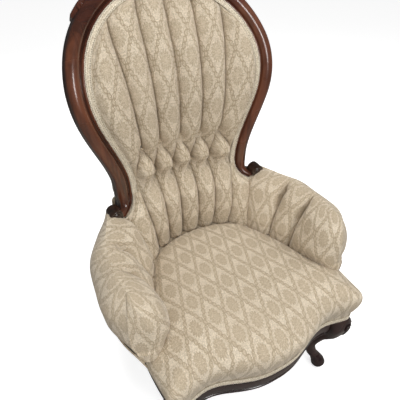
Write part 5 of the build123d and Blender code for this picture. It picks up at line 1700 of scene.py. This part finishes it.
def braid_band(path, half, thick):
    """The flat band of the braid, ribbed with four cords across its width."""
    rings = []
    for spot, across, facing in braid_frames(path):
        ring = []
        for j in range(17):
            cord = abs(math.sin(math.pi * j / 4))
            ring.append(tuple(spot + across * (half * (j / 8 - 1))
                              + facing * thick * (0.55 + 0.45 * cord)))
        rings.append(ring + [tuple(spot + across * half), tuple(spot - across * half)])
    return loft(rings)


def loop_rows(path, lift):
    """Places of the loops along both edges of a braid."""
    return [evenly([(spot + across * offset + facing * lift, facing)
                    for spot, across, facing in braid_frames(path)])
            for offset in (-LOOP_OFFSET, LOOP_OFFSET)]


def frame_braid_path(side):
    """Middle line of the braid inside the balloon: points and the way they face."""
    stops = [round_balloon(90 - 1.5 * i) for i in range(61)]
    stops += [down_to_waist(BALLOON_WIDEST - WAIST_DROP * i / 48) for i in range(1, 49)]
    for i in range(24):
        turn = math.radians(180 + 4 * i)
        stops.append((round_curl(180 + 4 * i), (-math.cos(turn), -math.sin(turn))))
    path = []
    for point, out in stops:
        x, height = (at - way * BRAID_INSET for at, way in zip(point, out))
        lip = flowing(edge_forward, height)
        spot, ahead = (Vector(on_back(side * x, lip + lift, height)) for lift in (0.4, 10.4))
        path.append((spot, (ahead - spot).normalized()))
    return path


frame_paths = [frame_braid_path(side) for side in (1, -1)]
frame_braid = make_piece("balloon_braid", joined(*[braid_band(path, 5.0, 1.5) for path in frame_paths]),
                         braid_ground, 60.0)
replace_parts(frame_braid, "frame_gimp")
braid_loops("balloon_braid_loops", [row for path in frame_paths for row in loop_rows(path, 1.1)])


def rail_plan(inset):
    """Right half of the seat frame's level outline, drawn in by an inset."""
    points, end = front_plan(-inset)
    points += [mix(end, (end[0], -FRONT_LEG_REAR), i / 6) for i in range(6)]
    for i in range(51):
        y = -FRONT_LEG_REAR + (REAR_HEAD_FRONT + FRONT_LEG_REAR) * i / 50
        points.append((side_x(y, inset), y))
    return points


half_plan = rail_plan(2.0)
whole_plan = [(-x, y) for x, y in reversed(half_plan[1:])] + half_plan
seat_path = []
for k, (x, y) in enumerate(whole_plan):
    before, after = whole_plan[max(k - 1, 0)], whole_plan[min(k + 1, len(whole_plan) - 1)]
    along = Vector((after[0] - before[0], after[1] - before[1], 0)).normalized()
    seat_path.append((Vector((x, y, RAIL_TOP + 6.8)), Vector((along.y, -along.x, 0))))
seat_braid = make_piece("seat_braid", braid_band(seat_path, 5.2, 1.6), braid_ground, 60.0)
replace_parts(seat_braid, "seat_gimp")
braid_loops("seat_braid_loops", loop_rows(seat_path, 1.2))

# ---------------------------------------------------------------- room, lamps and camera
# A plain pale floor, a broad window-like lamp in front and softer ones at the sides,
# and a camera at a standing person's eye, a little to the left of the chair.
FLOOR_REACH = 6
scene = bpy.context.scene
floor_mesh = bpy.data.meshes.new("studio_floor")
floor_mesh.from_pydata([(FLOOR_REACH * a, FLOOR_REACH * b, 0) for a, b in
                        ((-1, -1), (1, -1), (1, 1), (-1, 1))], [], [(0, 1, 2, 3)])
floor_stuff, floor_tree, floor_shader = new_material("pale_floor")
floor_seen = wire(floor_tree, "ShaderNodeLightPath", out="Is Camera Ray")
feed(floor_shader, {"Base Color": blended(floor_seen, (0.22, 0.205, 0.185), (0.9, 0.9, 0.9)),
                    "Roughness": 0.9, "Emission Color": (1, 1, 1, 1),
                    "Emission Strength": floor_seen * 0.58})
floor_mesh.materials.append(floor_stuff)
floor = bpy.data.objects.new("studio_floor", floor_mesh)
scene.collection.objects.link(floor)

scene.view_settings.view_transform = "Standard"
scene.world = bpy.data.worlds.new("studio")
scene.world.use_nodes = True
sky = scene.world.node_tree
sky.nodes.clear()
glossy, seen = (wire(sky, "ShaderNodeLightPath", out=ray) for ray in ("Is Glossy Ray", "Is Camera Ray"))
sky_light = ramp(seen, 0.0, 1.0, ramp(glossy, 0.0, 1.0, 0.40, 0.08), 1.0)
node(sky, "ShaderNodeOutputWorld",
     {0: wire(sky, "ShaderNodeBackground", {"Color": (1, 1, 1, 1), "Strength": sky_light})})


def soft_lamp(name, spot, aim, width, height, power, mirrored=False):
    """A rectangular soft lamp turned towards its aim, lighting the cloth or only the polish."""
    data = bpy.data.lights.new(name, "AREA")
    data.shape = "RECTANGLE"
    data.size, data.size_y = width, height
    data.energy = power
    lamp = bpy.data.objects.new(name, data)
    lamp.location = spot
    lamp.rotation_euler = (Vector(aim) - Vector(spot)).to_track_quat("-Z", "Y").to_euler()
    lamp.visible_glossy = mirrored
    lamp.visible_diffuse = not mirrored
    scene.collection.objects.link(lamp)


soft_lamp("front_window", (0.25, -2.6, 1.9), (0.0, 0.0, 0.6), 0.9, 1.1, 33.0)
soft_lamp("window_gleam", (0.15, -2.6, 1.9), (0.0, 0.0, 0.6), 0.6, 1.1, 25.0, True)
soft_lamp("right_window", (1.9, -0.8, 2.0), (0.0, 0.0, 0.6), 1.2, 1.2, 12.0)
soft_lamp("left_window", (-2.0, -1.7, 1.0), (-0.3, -0.1, 0.45), 1.2, 0.8, 14.0)
soft_lamp("ceiling", (-0.1, 0.0, 2.8), (0.0, 0.0, 0.5), 1.0, 1.0, 22.0)
soft_lamp("rear_fill", (0.5, 2.6, 1.7), (0.0, 0.2, 0.6), 1.2, 1.2, 14.0)

camera_data = bpy.data.cameras.new("photo_camera")
camera_data.lens = 36.0
camera_data.sensor_width = 36.0
camera = bpy.data.objects.new("photo_camera", camera_data)
camera.location = place(-444.7, -704.8, 1243.5)
camera.rotation_euler = (Matrix.Rotation(math.radians(-29.08), 3, "Z")
                         @ Matrix.Rotation(math.radians(52.05), 3, "X")
                         @ Matrix.Rotation(math.radians(0.44), 3, "Z")).to_euler()
scene.collection.objects.link(camera)
scene.camera = camera
